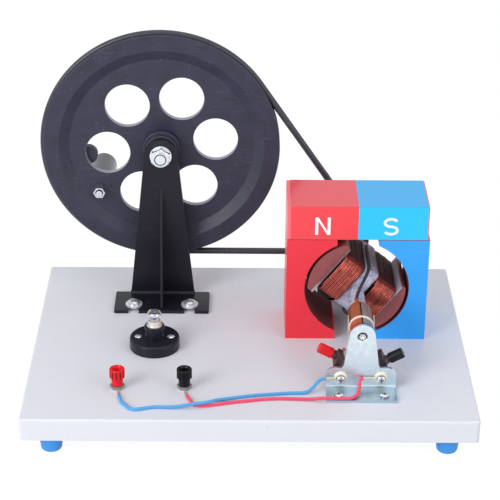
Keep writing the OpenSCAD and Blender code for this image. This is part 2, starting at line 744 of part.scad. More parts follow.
// Half of the commutator with its solder tab, a is its turn
module segment(a) {
    on_arm() rotate([0, a - com_a, 0]) difference() {
        union() {
            bar_y(0, 0, com_r, com_y - com_l, com_y);
            rotate([0, -14, 0]) translate([com_r - 1, com_y - 2.4, -1.6]) cube([3.8, 2, 3.2]);
        }
        bar_y(0, 0, com_r - 1.5, com_y - com_l - 1, com_y + 1);
        translate([-20, com_y - com_l - 1, com_slit / 2 - 20]) cube([40, com_l + 2, 20]);
    }
}

module segment_a() {
    color([0.74, 0.4, 0.22]) segment(0);
}

module segment_b() {
    color([0.6, 0.5, 0.46]) segment(180);
}

module commutator_ring() {
    color([0.92, 0.92, 0.9]) on_arm() difference() {
        bar_y(0, 0, com_r + 0.6, com_y - 23.5, com_y - 22);
        bar_y(0, 0, com_r, com_y - 25, com_y - 20);
    }
}

module drive_pulley() {
    color([0.7, 0.71, 0.72]) difference() {
        on_arm() rotate([-90, 0, 0]) rotate_extrude() difference() {
            polygon([[shaft_r, belt_y - 5], [pulley_r + 1.6, belt_y - 5], [pulley_r + 2, belt_y - 4.6],
                [pulley_r + 2, belt_y + 4.6], [pulley_r + 1.6, belt_y + 5], [8, belt_y + 5],
                [8, belt_y + 11], [shaft_r, belt_y + 11]]);
            translate([pulley_r, belt_y]) circle(belt_r + belt_gap);
            translate([pulley_r, belt_y - belt_r - belt_gap]) square([5, 2 * belt_r + 2 * belt_gap]);
        }
        on_arm() translate([0, belt_y + 8, 0]) cylinder(h = 20, r = 1.5);
    }
}

module pulley_screw() {
    color([0.3, 0.3, 0.32]) on_arm() translate([0, belt_y + 8, shaft_r]) difference() {
        cylinder(h = 4.4, r = 1.5);
        translate([0, 0, 2.6]) cylinder(h = 3, r = 0.8, $fn = 6);
    }
}

module rear_bracket() {
    color([0.1, 0.1, 0.11]) on_top() difference() {
        union() {
            translate([arm_x, rear_y + br_t, 0.5]) rotate([90, 0, 0]) linear_extrude(br_t)
                upright(15, arm_z - 0.5, 9.2);
            translate([arm_x, rear_y + 10, 0]) linear_extrude(br_t) round_rect(br_w, 20, 2);
        }
        bar_y(arm_x, arm_z, shaft_r + play, rear_y - 10, rear_y + 10);
        for (s = [-1, 1]) translate([arm_x + s * 18, rear_y + 12, -1]) cylinder(h = 6, r = 1.5);
    }
}

module rear_bracket_screws() {
    color([0.82, 0.83, 0.85]) on_top() for (s = [-1, 1])
        pan_screw(arm_x + s * 18, rear_y + 12, br_t, 3.4, 2.4, 1.5, 13);
}

module front_bracket() {
    color([0.8, 0.84, 0.87]) difference() {
        union() {
            on_top() translate([arm_x, br_t - br_y, 0]) rotate([90, 0, 0]) linear_extrude(br_t) {
                translate([-br_w / 2, 0]) square([br_w, br_h - 6]);
                translate([6 - br_w / 2, 0]) square([br_w - 12, br_h]);
                for (s = [-1, 1]) translate([s * (br_w / 2 - 6), br_h - 6]) circle(6);
                translate([0, br_h - 9.5]) upright(14, arm_z - br_h + 9.5, 9.2);
            }
            on_top() translate([arm_x - br_w / 2, -br_foot - br_y, 0])
                cube([br_w, br_foot + br_t / 2, br_t]);
            on_top() translate([arm_x - br_w / 2, -br_y, br_t]) rotate([0, 90, 0]) linear_extrude(br_w)
                difference() {
                    translate([-1.5, -1.5]) square([2, 2]);
                    translate([-1.5, -1.5]) circle(1.5);
                }
            for (s = [-1, 1]) on_ear(s) {
                translate([-4, br_t / 2 - br_y, -br_t]) cube([6.6, 10, br_t]);
                translate([-4, 7 - br_y, -br_t]) cube([10, 17, br_t]);
            }
        }
        on_top() {
            bar_y(arm_x, arm_z, shaft_r + play, -br_y - 5, -br_y + 5);
            translate([arm_x, -br_y - 0.1, arm_z]) rotate([-90, 0, 0])
                cylinder(h = 0.7, r1 = shaft_r + play + 0.7, r2 = shaft_r + play);
            for (s = [-1, 1]) translate([arm_x + s * br_screw, -13.5 - br_y, -1]) cylinder(h = 6, r = 1.5);
        }
        for (s = [-1, 1]) on_terminal(s) translate([0, 0, -br_t - 1]) cylinder(h = br_t + 2, r = 2.3);
        for (s = [-1, 1]) on_stud(s) translate([0, 0, -5]) cylinder(h = 8, r = 2.4);
    }
}

module front_bracket_screws() {
    color([0.85, 0.86, 0.88]) on_top() for (s = [-1, 1])
        pan_screw(arm_x + s * br_screw, -13.5 - br_y, br_t, 3.4, 2.4, 1.5, 13);
}

module terminal_screws() {
    color([0.85, 0.86, 0.88]) for (s = [-1, 1]) on_terminal(s) {
        pan_screw(0, 0, 2.2, 3.2, 2.4, 1.8, br_t + 5.8);
        translate([0, 0, -br_t - 3.4]) difference() {
            cylinder(h = 2.4, r = 3.46, $fn = 6);
            translate([0, 0, -1]) cylinder(h = 5, r = 1.8);
        }
    }
}

module insulating_washers() {
    color([0.93, 0.9, 0.75]) for (s = [-1, 1]) on_terminal(s) {
        difference() {
            cylinder(h = 1.4, r = 4.5);
            translate([0, 0, -1]) cylinder(h = 4, r = 1.8);
        }
        translate([0, 0, -br_t - 1]) difference() {
            cylinder(h = 1, r = 3.1);
            translate([0, 0, -1]) cylinder(h = 4, r = 1.8);
        }
    }
}

// Flat ring lug with a tongue of length l along X
module lug(l) {
    difference() {
        union() {
            cylinder(h = 0.8, r = 3.6);
            translate([0, -1.3, 0]) cube([l, 2.6, 0.8]);
        }
        translate([0, 0, -1]) cylinder(h = 3, r = 1.8);
    }
}

module lead_lugs() {
    color([0.8, 0.78, 0.72]) {
        on_terminal(-1) translate([0, 0, 1.4]) rotate(180) lug(10.2);
        on_terminal(1) translate([0, 0, 1.4]) rotate(180) lug(12.4);
        on_top() each_post() rotate(lug_turn - 90) difference() {
            union() {
                cylinder(h = 0.8, r = 5);
                translate([0, -1.3, 0]) cube([11.2, 2.6, 0.8]);
            }
            translate([0, 0, -1]) cylinder(h = 3, r = 2.5);
        }
    }
}

module brush_plates() {
    color([0.25, 0.13, 0.1]) for (s = [-1, 1]) {
        difference() {
            on_ear(s) translate([-4, ear_y - 8.6, 0]) cube([9, 12.6, 4]);
            on_stud(s) translate([0, 0, -1]) cylinder(h = 8, r = 2);
        }
        on_stud(s) difference() {
            translate([0, 0, -br_t - 1]) cylinder(h = 1, r = 3.4);
            translate([0, 0, -br_t - 2]) cylinder(h = 4, r = 2);
        }
    }
}

// One strip brush, s is the side
module brush(s) {
    difference() {
        union() {
            on_ear(s) translate([-4, stud_y(s) - 3.5, -br_t - 1.5])
                cube([7.8 + stud_x(s), ear_y - stud_y(s) + 10.5, 0.5]);
            on_top() translate([arm_x + s * (com_r + brush_gap) - (s > 0 ? 0 : 0.5), ear_y + 1, ear_z + 1.7])
                cube([0.5, 6, arm_z - ear_z + 3]);
        }
        on_stud(s) translate([0, 0, -8]) cylinder(h = 8, r = 2);
    }
}

module brush_strips() {
    color([0.85, 0.8, 0.66]) for (s = [-1, 1]) brush(s);
}

module brush_studs() {
    color([0.78, 0.79, 0.8]) for (s = [-1, 1]) on_stud(s) {
        translate([0, 0, -6.2]) cylinder(h = 20.2, r = 2);
        translate([0, 0, 4]) cylinder(h = 2.4, r = 3.75, $fn = 6);
        translate([0, 0, -5.5]) cylinder(h = 2, r = 3.5, $fn = 6);
    }
}

// One fluted thumb cap along Z
module thumb_cap() {
    difference() {
        rotate_extrude() union() {
            square([2.8, 3]);
            translate([0, 0.8]) square([thumb_r, thumb_l - 1.8]);
            translate([0, 0.8]) square([thumb_r - 1, thumb_l - 0.8]);
            translate([thumb_r - 1, thumb_l - 1]) circle(1);
        }
        translate([0, 0, -1]) cylinder(h = thumb_l - 1.5, r = 2 + play);
        for (k = [0 : 11]) rotate(30 * k) translate([thumb_r + 0.25, 0, 2])
            cylinder(h = thumb_l, r = 0.55, $fn = 24);
    }
}

module thumb_cap_red() {
    color([0.9, 0.12, 0.12]) on_stud(-1) translate([0, 0, 6.7]) thumb_cap();
}

module thumb_cap_black() {
    color([0.1, 0.1, 0.1]) on_stud(1) translate([0, 0, 6.7]) thumb_cap();
}

module lamp_holder() {
    color([0.08, 0.08, 0.09]) on_top() translate([lamp_x, lamp_y, 0]) difference() {
        rotate_extrude() union() {
            square([lamp_r, 6.9]);
            square([lamp_r - 1.5, 8.4]);
            translate([lamp_r - 1.5, 6.9]) circle(1.5);
            square([7.4, 17.4]);
            square([6.8, 18]);
            translate([6.8, 17.4]) circle(0.6);
        }
        translate([0, 0, 5]) cylinder(h = 20, r = 5.2);
        for (s = [-1, 1]) translate([s * 12, 0, -1]) cylinder(h = 20, r = 1.2);
        for (s = [-1, 1]) translate([s * 12, 0, 7.2]) cylinder(h = 20, r = 3.1);
    }
}

module lamp_shell() {
    color([0.78, 0.78, 0.76]) on_top() translate([lamp_x, lamp_y, 0]) {
        difference() {
            union() {
                translate([0, 0, 8.6]) cylinder(h = 9.4, r = 5.2);
                translate([0, 0, 18]) cylinder(h = 0.5, r = 5.9);
            }
            translate([0, 0, 5]) cylinder(h = 20, r = 4.68);
        }
        translate([0, 0, 5]) cylinder(h = 2.6, r = 2.2);
    }
}

module lamp_screws() {
    color([0.82, 0.83, 0.85]) on_top() for (s = [-1, 1])
        pan_screw(lamp_x + s * 12, lamp_y, 7.2, 2.8, 2, 1.2, 17);
}

module bulb_glass() {
    color([0.85, 0.9, 0.95, 0.35]) on_top() translate([lamp_x, lamp_y, globe_z]) difference() {
        sphere(globe_r);
        sphere(globe_r - 0.45);
        translate([-10, -10, -20 - globe_low]) cube([20, 20, 20]);
    }
}

module bulb_cap() {
    color([0.75, 0.76, 0.76]) on_top() translate([lamp_x, lamp_y, 0]) {
        translate([0, 0, 9.2]) cylinder(h = globe_z - globe_low - 9.2, r = 4.6);
        translate([0, 0, 7.9]) cylinder(h = 1.3, r = 1.6);
    }
}

module bulb_mount() {
    color([0.35, 0.35, 0.7]) on_top() translate([lamp_x, lamp_y, globe_z]) {
        translate([0, 0, -2.7]) cylinder(h = 1.7, r = 1.2);
        for (s = [-0.85, 0.55]) translate([s, -0.15, -globe_low]) cube([0.3, 0.3, globe_low + 1.05]);
        translate([-1.3, -0.15, 0.75]) cube([2.6, 0.3, 0.3]);
    }
}

module post_studs() {
    color([0.8, 0.81, 0.82]) on_top() each_post() {
        difference() {
            union() {
                translate([0, 0, 0.8]) cylinder(h = 2.4, r = 5.4, $fn = 6);
                translate([0, 0, 0.8]) cylinder(h = 13.4, r = 3);
                translate([0, 0, 1 - board_t]) cylinder(h = board_t, r = 2.5);
            }
            translate([0, 0, 4.2]) cylinder(h = 20, r = socket_r);
        }
        translate([0, 0, 2.4 - board_t]) difference() {
            cylinder(h = 3.6, r = 5.2, $fn = 6);
            translate([0, 0, -1]) cylinder(h = 8, r = 2.5);
        }
    }
}

// One fluted post cap standing on the post's nut
module post_cap() {
    difference() {
        rotate_extrude() union() {
            translate([0, 3.5]) square([cap_r - 1.35, 7]);
            translate([0, 9.5]) square([cap_r, 6]);
            translate([0, 9.5]) square([cap_r - 1, 7]);
            translate([cap_r - 1, 15.5]) circle(1);
        }
        cylinder(h = 30, r = 3 + play);
        translate([0, 0, 15.2]) cylinder(h = 1.4, r1 = 3 + play, r2 = 4);
        for (k = [0 : 11]) rotate(30 * k) translate([cap_r + 0.35, 0, 8])
            cylinder(h = 9, r = 0.8, $fn = 24);
    }
}

module post_cap_red() {
    color([0.88, 0.1, 0.1]) on_top() translate([lamp_x - post_pitch / 2, -post_y, 0]) post_cap();
}

module post_cap_black() {
    color([0.08, 0.08, 0.08]) on_top() translate([lamp_x + post_pitch / 2, -post_y, 0]) post_cap();
}

module blue_lead() {
    color([0.2, 0.6, 0.95]) on_top() cord(blue_path, lead_r, 3);
}

module red_lead() {
    color([0.92, 0.25, 0.38]) on_top() cord(red_path, lead_r, 3);
}

base_board();
rubber_feet();
foot_screws();
wheel_stand();
stand_screws();
stand_washers();
axle_bolt();
axle_nut();
axle_spacer();
axle_washer();
flywheel();
hub_bushes();
crank_pin();
crank_nut();
balance_weight();
crank_grip();
drive_belt();
pole_north();
pole_south();
magnet_bar();
south_label();
magnet_screws();
armature_shaft();
armature_core();
core_wrap();
slot_liners();
coil_cores();
coil_windings();
armature_leads();
commutator_sleeve();
segment_a();
segment_b();
commutator_ring();
drive_pulley();
pulley_screw();
rear_bracket();
rear_bracket_screws();
front_bracket();
front_bracket_screws();
terminal_screws();
insulating_washers();
lead_lugs();
brush_plates();
brush_strips();
brush_studs();
thumb_cap_red();
thumb_cap_black();
lamp_holder();
lamp_shell();
lamp_screws();
bulb_glass();
bulb_cap();
bulb_mount();
post_studs();
post_cap_red();
post_cap_black();
blue_lead();
red_lead();
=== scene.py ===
"""Looks of a hand crank generator model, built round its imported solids."""

import math
from functools import partial, partialmethod

import bpy
import numpy as np
from bpy.props import FloatProperty, FloatVectorProperty, IntProperty, PointerProperty
from mathutils import Matrix, Vector


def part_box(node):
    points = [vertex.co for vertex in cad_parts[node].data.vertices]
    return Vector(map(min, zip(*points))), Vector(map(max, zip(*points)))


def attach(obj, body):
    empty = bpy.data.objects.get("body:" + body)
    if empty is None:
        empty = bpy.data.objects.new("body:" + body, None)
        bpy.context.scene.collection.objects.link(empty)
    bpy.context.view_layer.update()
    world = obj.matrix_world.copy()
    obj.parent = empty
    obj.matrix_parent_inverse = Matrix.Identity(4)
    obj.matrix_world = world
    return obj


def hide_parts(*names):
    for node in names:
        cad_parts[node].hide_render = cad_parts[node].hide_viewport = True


bl_info = {
    "name": "Hand Crank Generator Looks",
    "version": (1, 0, 0),
    "blender": (4, 5, 0),
    "location": "View3D > Sidebar > Generator",
    "description": "Wire, leads, belt, marks and finishes for a hand crank generator model",
    "category": "Object",
}

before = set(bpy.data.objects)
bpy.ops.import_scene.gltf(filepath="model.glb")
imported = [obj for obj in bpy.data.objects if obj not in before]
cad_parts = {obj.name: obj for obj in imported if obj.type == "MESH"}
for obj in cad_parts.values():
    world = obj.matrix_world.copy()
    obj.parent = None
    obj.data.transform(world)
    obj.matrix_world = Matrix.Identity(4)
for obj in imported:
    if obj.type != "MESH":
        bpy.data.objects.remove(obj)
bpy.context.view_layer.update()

# Board frame: the middle of the board's top face, in metres.
BOARD_Y, BOARD_Z = -0.013, 0.032
BOARD = np.array([0.0, BOARD_Y, BOARD_Z])
# Armature axis over the board, its turn at rest and the core's middle along the shaft.
ARM_X, ARM_Z, ARM_TURN, CORE_Y = 0.079, 0.0425, math.radians(142), 0.023
# Just outside the poles' bore, and just past half the gap between the poles.
BORE_R, POLE_GAP = 0.0387, 0.0163
# Wheel axle over the board.
WHEEL_X, WHEEL_Z = -0.0675, 0.120
# The wheel's six holes: pitch radius, radius just outside their walls and the turn of their pattern.
HOLE_PITCH, HOLE_R, HOLE_TURN = 0.0415, 0.01706, math.radians(8)
# Pitch radius of the crank's pin and its angle.
CRANK, CRANK_TURN = 0.0615, HOLE_TURN + math.radians(210)
# Belt: its radius about the wheel and about the pulley, and its place along the shaft.
BELT_BIG, BELT_SMALL, BELT_Y = 0.090, 0.0125, 0.0855
# Binding posts: half their spacing about the lamp, their place along Y and the radius of their caps.
POST_X, POST_Y, CAP = 0.02385, -0.0725, 0.0055
# Thickness of the printed letters.
PRINT = 0.00012
# Red film: its thickness at the bar's sides and on top, and the bare edge at the bar's end, middle and foot.
FILM, FILM_TOP = 0.00028, 0.0003
BARE_END, BARE_MIDDLE, BARE_FOOT = 0.0026, 0.0005, 0.0003
# Lamp centre on the board and the level of its globe.
LAMP = np.array([-0.0703, -0.0125, 0.0256])


def shade(red, green, blue, alpha=1.0):
    """Linear colour of a display colour given in 0 to 255."""
    c = np.array([red, green, blue]) / 255.0
    lin = np.where(c <= 0.04045, c / 12.92, ((c + 0.055) / 1.055) ** 2.4)
    return (*(float(v) for v in lin), alpha)


def tint(colour):
    """Linear colour of three display values, or of four linear ones as they are."""
    return shade(*colour) if len(colour) == 3 else tuple(colour)


def toned(colour, factor):
    """The same colour darker or lighter."""
    return (*(min(1.0, c * factor) for c in tint(colour)[:3]), 1.0)


# Properties


def length_property(name, words, size, low, high):
    """A length that a user can change, in metres."""
    return FloatProperty(name=name, description=words, default=size, min=low, max=high, unit="LENGTH")


def colour_property(name, words, rgb):
    """A colour that a user can change, from a display colour."""
    return FloatVectorProperty(
        name=name, description=words, subtype="COLOR", size=4, min=0, max=1, default=shade(*rgb))


class GeneratorSizes(bpy.types.PropertyGroup):
    """Sizes of the pieces that are made here."""

    lead_diameter: length_property(
        "Lead diameter", "Over the insulation of the two loose leads", 0.0023, 0.001, 0.004)
    wire_diameter: length_property(
        "Coil wire diameter", "Enamelled wire of the outer layer", 0.00085, 0.0003, 0.001)
    wire_turns: IntProperty(
        name="Turns in the outer layer", description="Turns that show on each coil",
        default=15, min=10, max=16)
    sleeve_diameter: length_property(
        "Sleeve diameter", "Woven sleeve over each coil's end", 0.0025, 0.001, 0.003)
    belt_diameter: length_property("Belt diameter", "Round drive belt", 0.005, 0.003, 0.006)
    letter_height: length_property(
        "Pole letter height", "Height of the two pole letters", 0.014, 0.006, 0.02)
    letter_stroke: length_property(
        "Pole letter stroke", "Width of a letter's stroke", 0.0019, 0.0008, 0.004)


class GeneratorColours(bpy.types.PropertyGroup):
    """Colours of the main finishes."""

    board: colour_property("Board", "Pale laminate of the board", (220, 222, 231))
    rubber: colour_property("Feet", "Rubber of the feet", (60, 150, 230))
    stand: colour_property("Stand", "Black coat of the wheel stand", (24, 23, 34))
    wheel: colour_property("Wheel", "Black coat of the wheel", (41, 41, 62))
    red_pole: colour_property("Red pole", "Enamel of the north pole", (236, 44, 62))
    blue_pole: colour_property("Blue pole", "Enamel of the south pole", (44, 164, 250))
    red_film: colour_property("Red film", "Film on the bar's north half", (242, 60, 72))
    blue_film: colour_property("Blue film", "Film on the bar's south half", (14, 196, 252))
    copper: colour_property("Coil wire", "Enamelled copper wire", (206, 106, 95))
    blue_lead: colour_property("Blue lead", "Insulation of the blue lead", (72, 162, 224))
    red_lead: colour_property("Red lead", "Insulation of the red lead", (236, 70, 106))


# Surfaces


def unit(v):
    """Vectors of length one along the last axis."""
    return v / np.linalg.norm(v, axis=-1, keepdims=True)


def rows(*columns):
    """Rows of numbers from their columns, each an array or one number for all."""
    return np.stack(np.broadcast_arrays(*columns), -1)


def smooth_line(corners, steps):
    """Points of a cubic curve through the corners: on each stretch the point is half of
    2b + (c - a)u + (2a - 5b + 4c - d)u^2 + (3b - a - 3c + d)u^3."""
    p = np.asarray(corners, float)
    a, b, c, d = p[np.r_[0, 0:len(p) - 2]], p[:-1], p[1:], p[np.r_[2:len(p), len(p) - 1]]
    u = (np.arange(steps) / steps)[None, :, None]
    a, b, c, d = (v[:, None, :] for v in (a, b, c, d))
    q = 0.5 * (2 * b + (c - a) * u + (2 * a - 5 * b + 4 * c - d) * u**2 + (3 * b - a - 3 * c + d) * u**3)
    return np.vstack([q.reshape(-1, 3), p[-1:]])


def tangents(path, closed=False):
    """Direction of travel at each point, from its two neighbours."""
    if closed:
        return unit(np.roll(path, -1, 0) - np.roll(path, 1, 0))
    return unit(np.gradient(path, axis=0))


def surface(name, grid, wrap_u=False, wrap_v=True, capped=True):
    """Mesh of a grid of points, rows u by columns v, with each cell as two triangles.
    A wrapped direction joins its last line to its first, and caps are fans to a row's middle."""
    nu, nv = grid.shape[:2]
    i = np.arange(nu if wrap_u else nu - 1)[:, None]
    j = np.arange(nv if wrap_v else nv - 1)[None, :]
    a, b = i * nv + j, i * nv + (j + 1) % nv
    c, d = (i + 1) % nu * nv + (j + 1) % nv, (i + 1) % nu * nv + j
    faces = np.vstack([rows(*f).reshape(-1, 3) for f in ((a, b, c), (a, c, d))])
    points = grid.reshape(-1, 3)
    if capped and wrap_v and not wrap_u:
        k = np.arange(nv)
        following = (k + 1) % nv
        end = (nu - 1) * nv
        first = rows(len(points), following, k)
        last = rows(len(points) + 1, end + k, end + following)
        points = np.vstack([points, grid[0].mean(0), grid[-1].mean(0)])
        faces = np.vstack([faces, first, last])
    return points, faces, name


def add_piece(shapes, material, body, stands_for=(), flat=False):
    """One object from several point and face lists, riding on a body, with its finish and slot."""
    points, faces, start = [], [], 0
    for p, f, _ in shapes:
        points.append(p)
        faces.append(f + start)
        start += len(p)
    name = shapes[0][2]
    mesh = bpy.data.meshes.new(name)
    mesh.from_pydata(np.vstack(points).tolist(), [], np.vstack(faces).tolist())
    mesh.validate()
    if not flat:
        mesh.shade_smooth()
    mesh.materials.append(material)
    piece = bpy.data.objects.new(name, mesh)
    bpy.context.scene.collection.objects.link(piece)
    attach(piece, body)
    if stands_for:
        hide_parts(*stands_for)
    return piece


def tube(name, path, radius, side, sides=12, closed=False):
    """Round tube: each point of the path plus radius times (cos a of the side direction plus
    sin a of the direction across it), for a from 0 to a full turn. Radius may vary along it."""
    t = tangents(path, closed)
    n = unit(side - (side * t).sum(-1, keepdims=True) * t)
    b = np.cross(t, n)
    a = np.linspace(0, 2 * np.pi, sides, endpoint=False)[None, :, None]
    r = np.broadcast_to(np.asarray(radius, float), (len(path),))[:, None, None]
    grid = path[:, None, :] + r * (np.cos(a) * n[:, None, :] + np.sin(a) * b[:, None, :])
    return surface(name, grid, wrap_u=closed)


def level_side(path):
    """Side direction of a lying cord: level, across its travel."""
    return unit(np.cross(tangents(path), np.array([0.0, 0.0, 1.0])))


def arm_points(along, y, across):
    """Places on the armature: along its arm, along the shaft and across, turned by its rest turn."""
    c, s = math.cos(ARM_TURN), math.sin(ARM_TURN)
    x = ARM_X + c * along - s * across
    z = ARM_Z + s * along + c * across
    return rows(x, y, z) + BOARD


def coil_outline(half_t, half_y, corner, arc):
    """Rounded rectangle: four corner arcs in turn, each a centre plus corner times (cos a, sin a).
    Returns points across and along the shaft, and their outward directions."""
    k = np.repeat(np.arange(4), arc)
    a = np.radians(-90 + 90 * k + np.tile(np.linspace(0, 90, arc), 4))
    cx = np.where(k < 2, 1, -1) * (half_t - corner)
    cy = np.where((k == 1) | (k == 2), 1, -1) * (half_y - corner)
    out = rows(np.cos(a), np.sin(a))
    return rows(cx, cy) + corner * out, out


def finer(ring, out, steps):
    """A closed outline and its outward directions, with each stretch cut into even steps."""
    u = np.linspace(0, 1, steps, endpoint=False)[None, :, None]
    q, d = (v[:, None, :] + (np.roll(v, -1, 0) - v)[:, None, :] * u for v in (ring, out))
    return q.reshape(-1, 2), unit(d.reshape(-1, 2))


def board_line(corners, steps):
    """Smooth line through corners in millimetres over the board."""
    return smooth_line(np.array(corners) / 1000, steps) + BOARD


def circle(x, z, r, a):
    """Points of a circle: its middle plus r times (cos a, sin a)."""
    return rows(x + r * np.cos(a), z + r * np.sin(a))


def tape_side(ring, face, depth, s):
    """One side of the tape: the outline moved out by the depth, carried along the arm by s."""
    across = ring[:, 0:1] + depth * face[:, 0:1]
    y = CORE_Y + ring[:, 1:2] + depth * face[:, 1:2]
    return arm_points(np.broadcast_to(s[None, :], across.shape), y, across)


def letter_n(a, b, w, middle):
    """Letter N as one outline of half sizes a and b: two legs of width w and a slanting stroke
    between them, whose upright cut is 1.35 w tall."""
    k = 1.35 * w
    across, up = np.array([[-a, -b], [w - a, -b], [w - a, b - k], [a - w, -b], [a, -b], [a, b], [a - w, b],
                           [a - w, k - b], [w - a, b], [-a, b]]).T
    points = np.vstack([rows(across, -PRINT, up), rows(across, 0.0, up)]) + middle
    face = np.array([[0, 1, 2], [0, 2, 8], [0, 8, 9], [2, 3, 7], [2, 7, 8], [3, 4, 5], [3, 5, 6], [3, 6, 7]])
    i = np.arange(10)
    j = (i + 1) % 10
    sides = np.vstack([rows(i, i + 10, j + 10), rows(i, j + 10, j)])
    return points, np.vstack([face, face[:, ::-1] + 10, sides]), "letter_n"


def s_line(half, tall):
    """Middle line of the letter S: two part turns of an ellipse, one over the other."""
    a, b = np.radians(np.linspace(25, 270, 40)), np.radians(np.linspace(90, -155, 40))
    r = tall / 2
    top, low = rows(half * np.cos(a), r + r * np.sin(a)), rows(half * np.cos(b), -r + r * np.sin(b))
    return np.vstack([top, low[1:]])


def ribbon(name, line, width, middle):
    """Flat stroke: the line moved by half the width to both sides, front and back."""
    t = tangents(line)
    side = rows(-t[:, 1], t[:, 0]) * width / 2
    a, b = line + side, line - side
    corners = [(b, 0.0), (b, -PRINT), (a, -PRINT), (a, 0.0)]
    return surface(name, np.stack([rows(p[:, 0], y, p[:, 1]) for p, y in corners], 1) + middle)


def bar_film():
    """Thin film over the bar's front, top and back: an open loop of outer points and the bar's own
    faces, carried along the bar's north half."""
    low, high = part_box("magnet_bar")
    left, right = low.x + BARE_END, ARM_X - BARE_MIDDLE
    y0, y1, z0, z1 = low.y, high.y, low.z + BARE_FOOT, high.z
    front, back, top = y0 - FILM, y1 + FILM, z1 + FILM_TOP
    ring = np.array([[front, z0], [front, top], [back, top], [back, z0],
                     [y1, z0], [y1, z1], [y0, z1], [y0, z0]])
    grid = np.stack([rows(x, *ring.T) for x in (left, right)])
    points, faces, name = surface("red_film", grid[:, ::-1], capped=False)
    ends = 7 - np.array([[0, 1, 6], [0, 6, 7], [1, 2, 5], [1, 5, 6], [2, 3, 4], [2, 4, 5]])
    return points, np.vstack([faces, ends[:, ::-1], ends + 8]), name


# Nodes


class Field:
    """A colour or value over a surface. Sums and tests on it put in the nodes that work them out."""

    def __init__(self, tree, socket):
        self.tree, self.socket = tree, socket

    def work(self, what, other=0.0, clamp=False):
        """One sum with another field or a number."""
        return maths(self.tree, what, self, other, clamp)

    def after(self, what, other):
        """One sum with the other value first."""
        return maths(self.tree, what, other, self)

    __add__ = partialmethod(work, "ADD")
    __sub__ = partialmethod(work, "SUBTRACT")
    __rsub__ = partialmethod(after, "SUBTRACT")
    __mul__ = partialmethod(work, "MULTIPLY")
    __rtruediv__ = partialmethod(after, "DIVIDE")
    __lt__ = partialmethod(work, "LESS_THAN")
    __gt__ = partialmethod(work, "GREATER_THAN")
    __abs__ = partialmethod(work, "ABSOLUTE")
    most = partialmethod(work, "MAXIMUM")
    least = partialmethod(work, "MINIMUM")

    def parts(self):
        """The three coordinates of a place."""
        out = put(self.tree, "SeparateXYZ", {0: self}).outputs
        return [Field(self.tree, out[k]) for k in range(3)]


def put(tree, kind, sockets=None, **settings):
    """A shader node with its settings, and each named socket fed by a field or set to a value."""
    node = tree.nodes.new("ShaderNode" + kind)
    for key, value in settings.items():
        setattr(node, key, value)
    for key, value in (sockets or {}).items():
        if isinstance(value, Field):
            tree.links.new(value.socket, node.inputs[key])
        else:
            node.inputs[key].default_value = value
    return node


def field(tree, kind, sockets=None, output=0, **settings):
    """One output of a new node."""
    return Field(tree, put(tree, kind, sockets, **settings).outputs[output])


def feed(inputs, fields):
    """Links fields to the named inputs of a shader."""
    for key, value in fields.items():
        value.tree.links.new(value.socket, inputs[key])


def maths(tree, what, a, b=0.0, clamp=False):
    """Result of one sum on two values."""
    return field(tree, "Math", {0: a, 1: b}, operation=what, use_clamp=clamp)


def spread(value, low, high, to_low=0.0, to_high=1.0):
    """Value moved from one range to another, held at its ends."""
    return field(value.tree, "MapRange", {0: value, 1: low, 2: high, 3: to_low, 4: to_high})


def mixed(mask, first, second):
    """Colour between two by a mask."""
    first, second = (c if isinstance(c, Field) else tint(c) for c in (first, second))
    return field(mask.tree, "Mix", {0: mask, 6: first, 7: second}, 2, data_type="RGBA")


def distance(a, b):
    """Length of two sides at right angles."""
    return (a * a + b * b).work("SQRT")


def vectors(what, a, b, output=0):
    """Result of one sum on two vectors."""
    return field(a.tree, "VectorMath", {0: a, 1: b}, output, operation=what)


def noise(vector, scale, detail, rough=0.5, output=0):
    """Smooth noise at a place."""
    return field(vector.tree, "TexNoise",
                 {"Vector": vector, "Scale": scale, "Detail": detail, "Roughness": rough}, output)


def cells(vector, size):
    """Distance to the nearest of scattered points, and the two first parts of its own colour."""
    t = vector.tree
    out = put(t, "TexVoronoi", {"Vector": vector, "Scale": 1.0 / size}).outputs
    own = put(t, "SeparateColor", {0: Field(t, out["Color"])}).outputs
    return Field(t, out["Distance"]), Field(t, own[0]), Field(t, own[1])


# Shared effects


def cloudy_tone(vector, size, contrast):
    """Soft cloudy change of tone about one half, of a given size and contrast."""
    return ((noise(vector, 1.0 / size, 4.0, 0.55) - 0.5) * (contrast * 4.0)).work("ADD", 0.5, clamp=True)


def coat_skin(vector, size):
    """Fine uneven skin of a coat or moulding, as a height from 0 to 1."""
    return noise(vector, 1.0 / size, 2.0)


def rubbed_streaks(vector, length, amount):
    """Light rubbed streaks in two directions, gathered in patches."""
    each = 1.0 / length
    streaks = []
    for turn, stretch in (((0.3, 0.7, 0.2), (1, 11, 11)), ((0.1, -0.5, 1.1), (9, 1.2, 12))):
        way = field(vector.tree, "Mapping", {"Vector": vector, "Rotation": turn, "Scale": stretch})
        streaks.append(spread(noise(way, each, 3.0), 0.58, 0.78))
    patch = spread(noise(vector, each * 0.7, 2.0), 0.42, 0.68)
    return (streaks[0].most(streaks[1]) * patch).work("MULTIPLY", amount, clamp=True)


def scattered_specks(vector, spacing, amount):
    """Scattered small specks, one to a cell, each with its own chance to show."""
    gap, chance, _ = cells(vector, spacing)
    return spread(gap, 0.14, 0.04) * (chance < amount * 0.5)


def rubbed_edges(vector, width, amount):
    """Rubbed edges: how far a rounded normal leans away from the true one."""
    rounded = field(vector.tree, "Bevel", {"Radius": width}, samples=4)
    true = field(vector.tree, "NewGeometry", output="Normal")
    lean = spread(vectors("DOT_PRODUCT", rounded, true, "Value"), 0.99, 0.80)
    return (lean * spread(noise(vector, 260.0, 3.0), 0.35, 0.65)).work("MULTIPLY", amount, clamp=True)


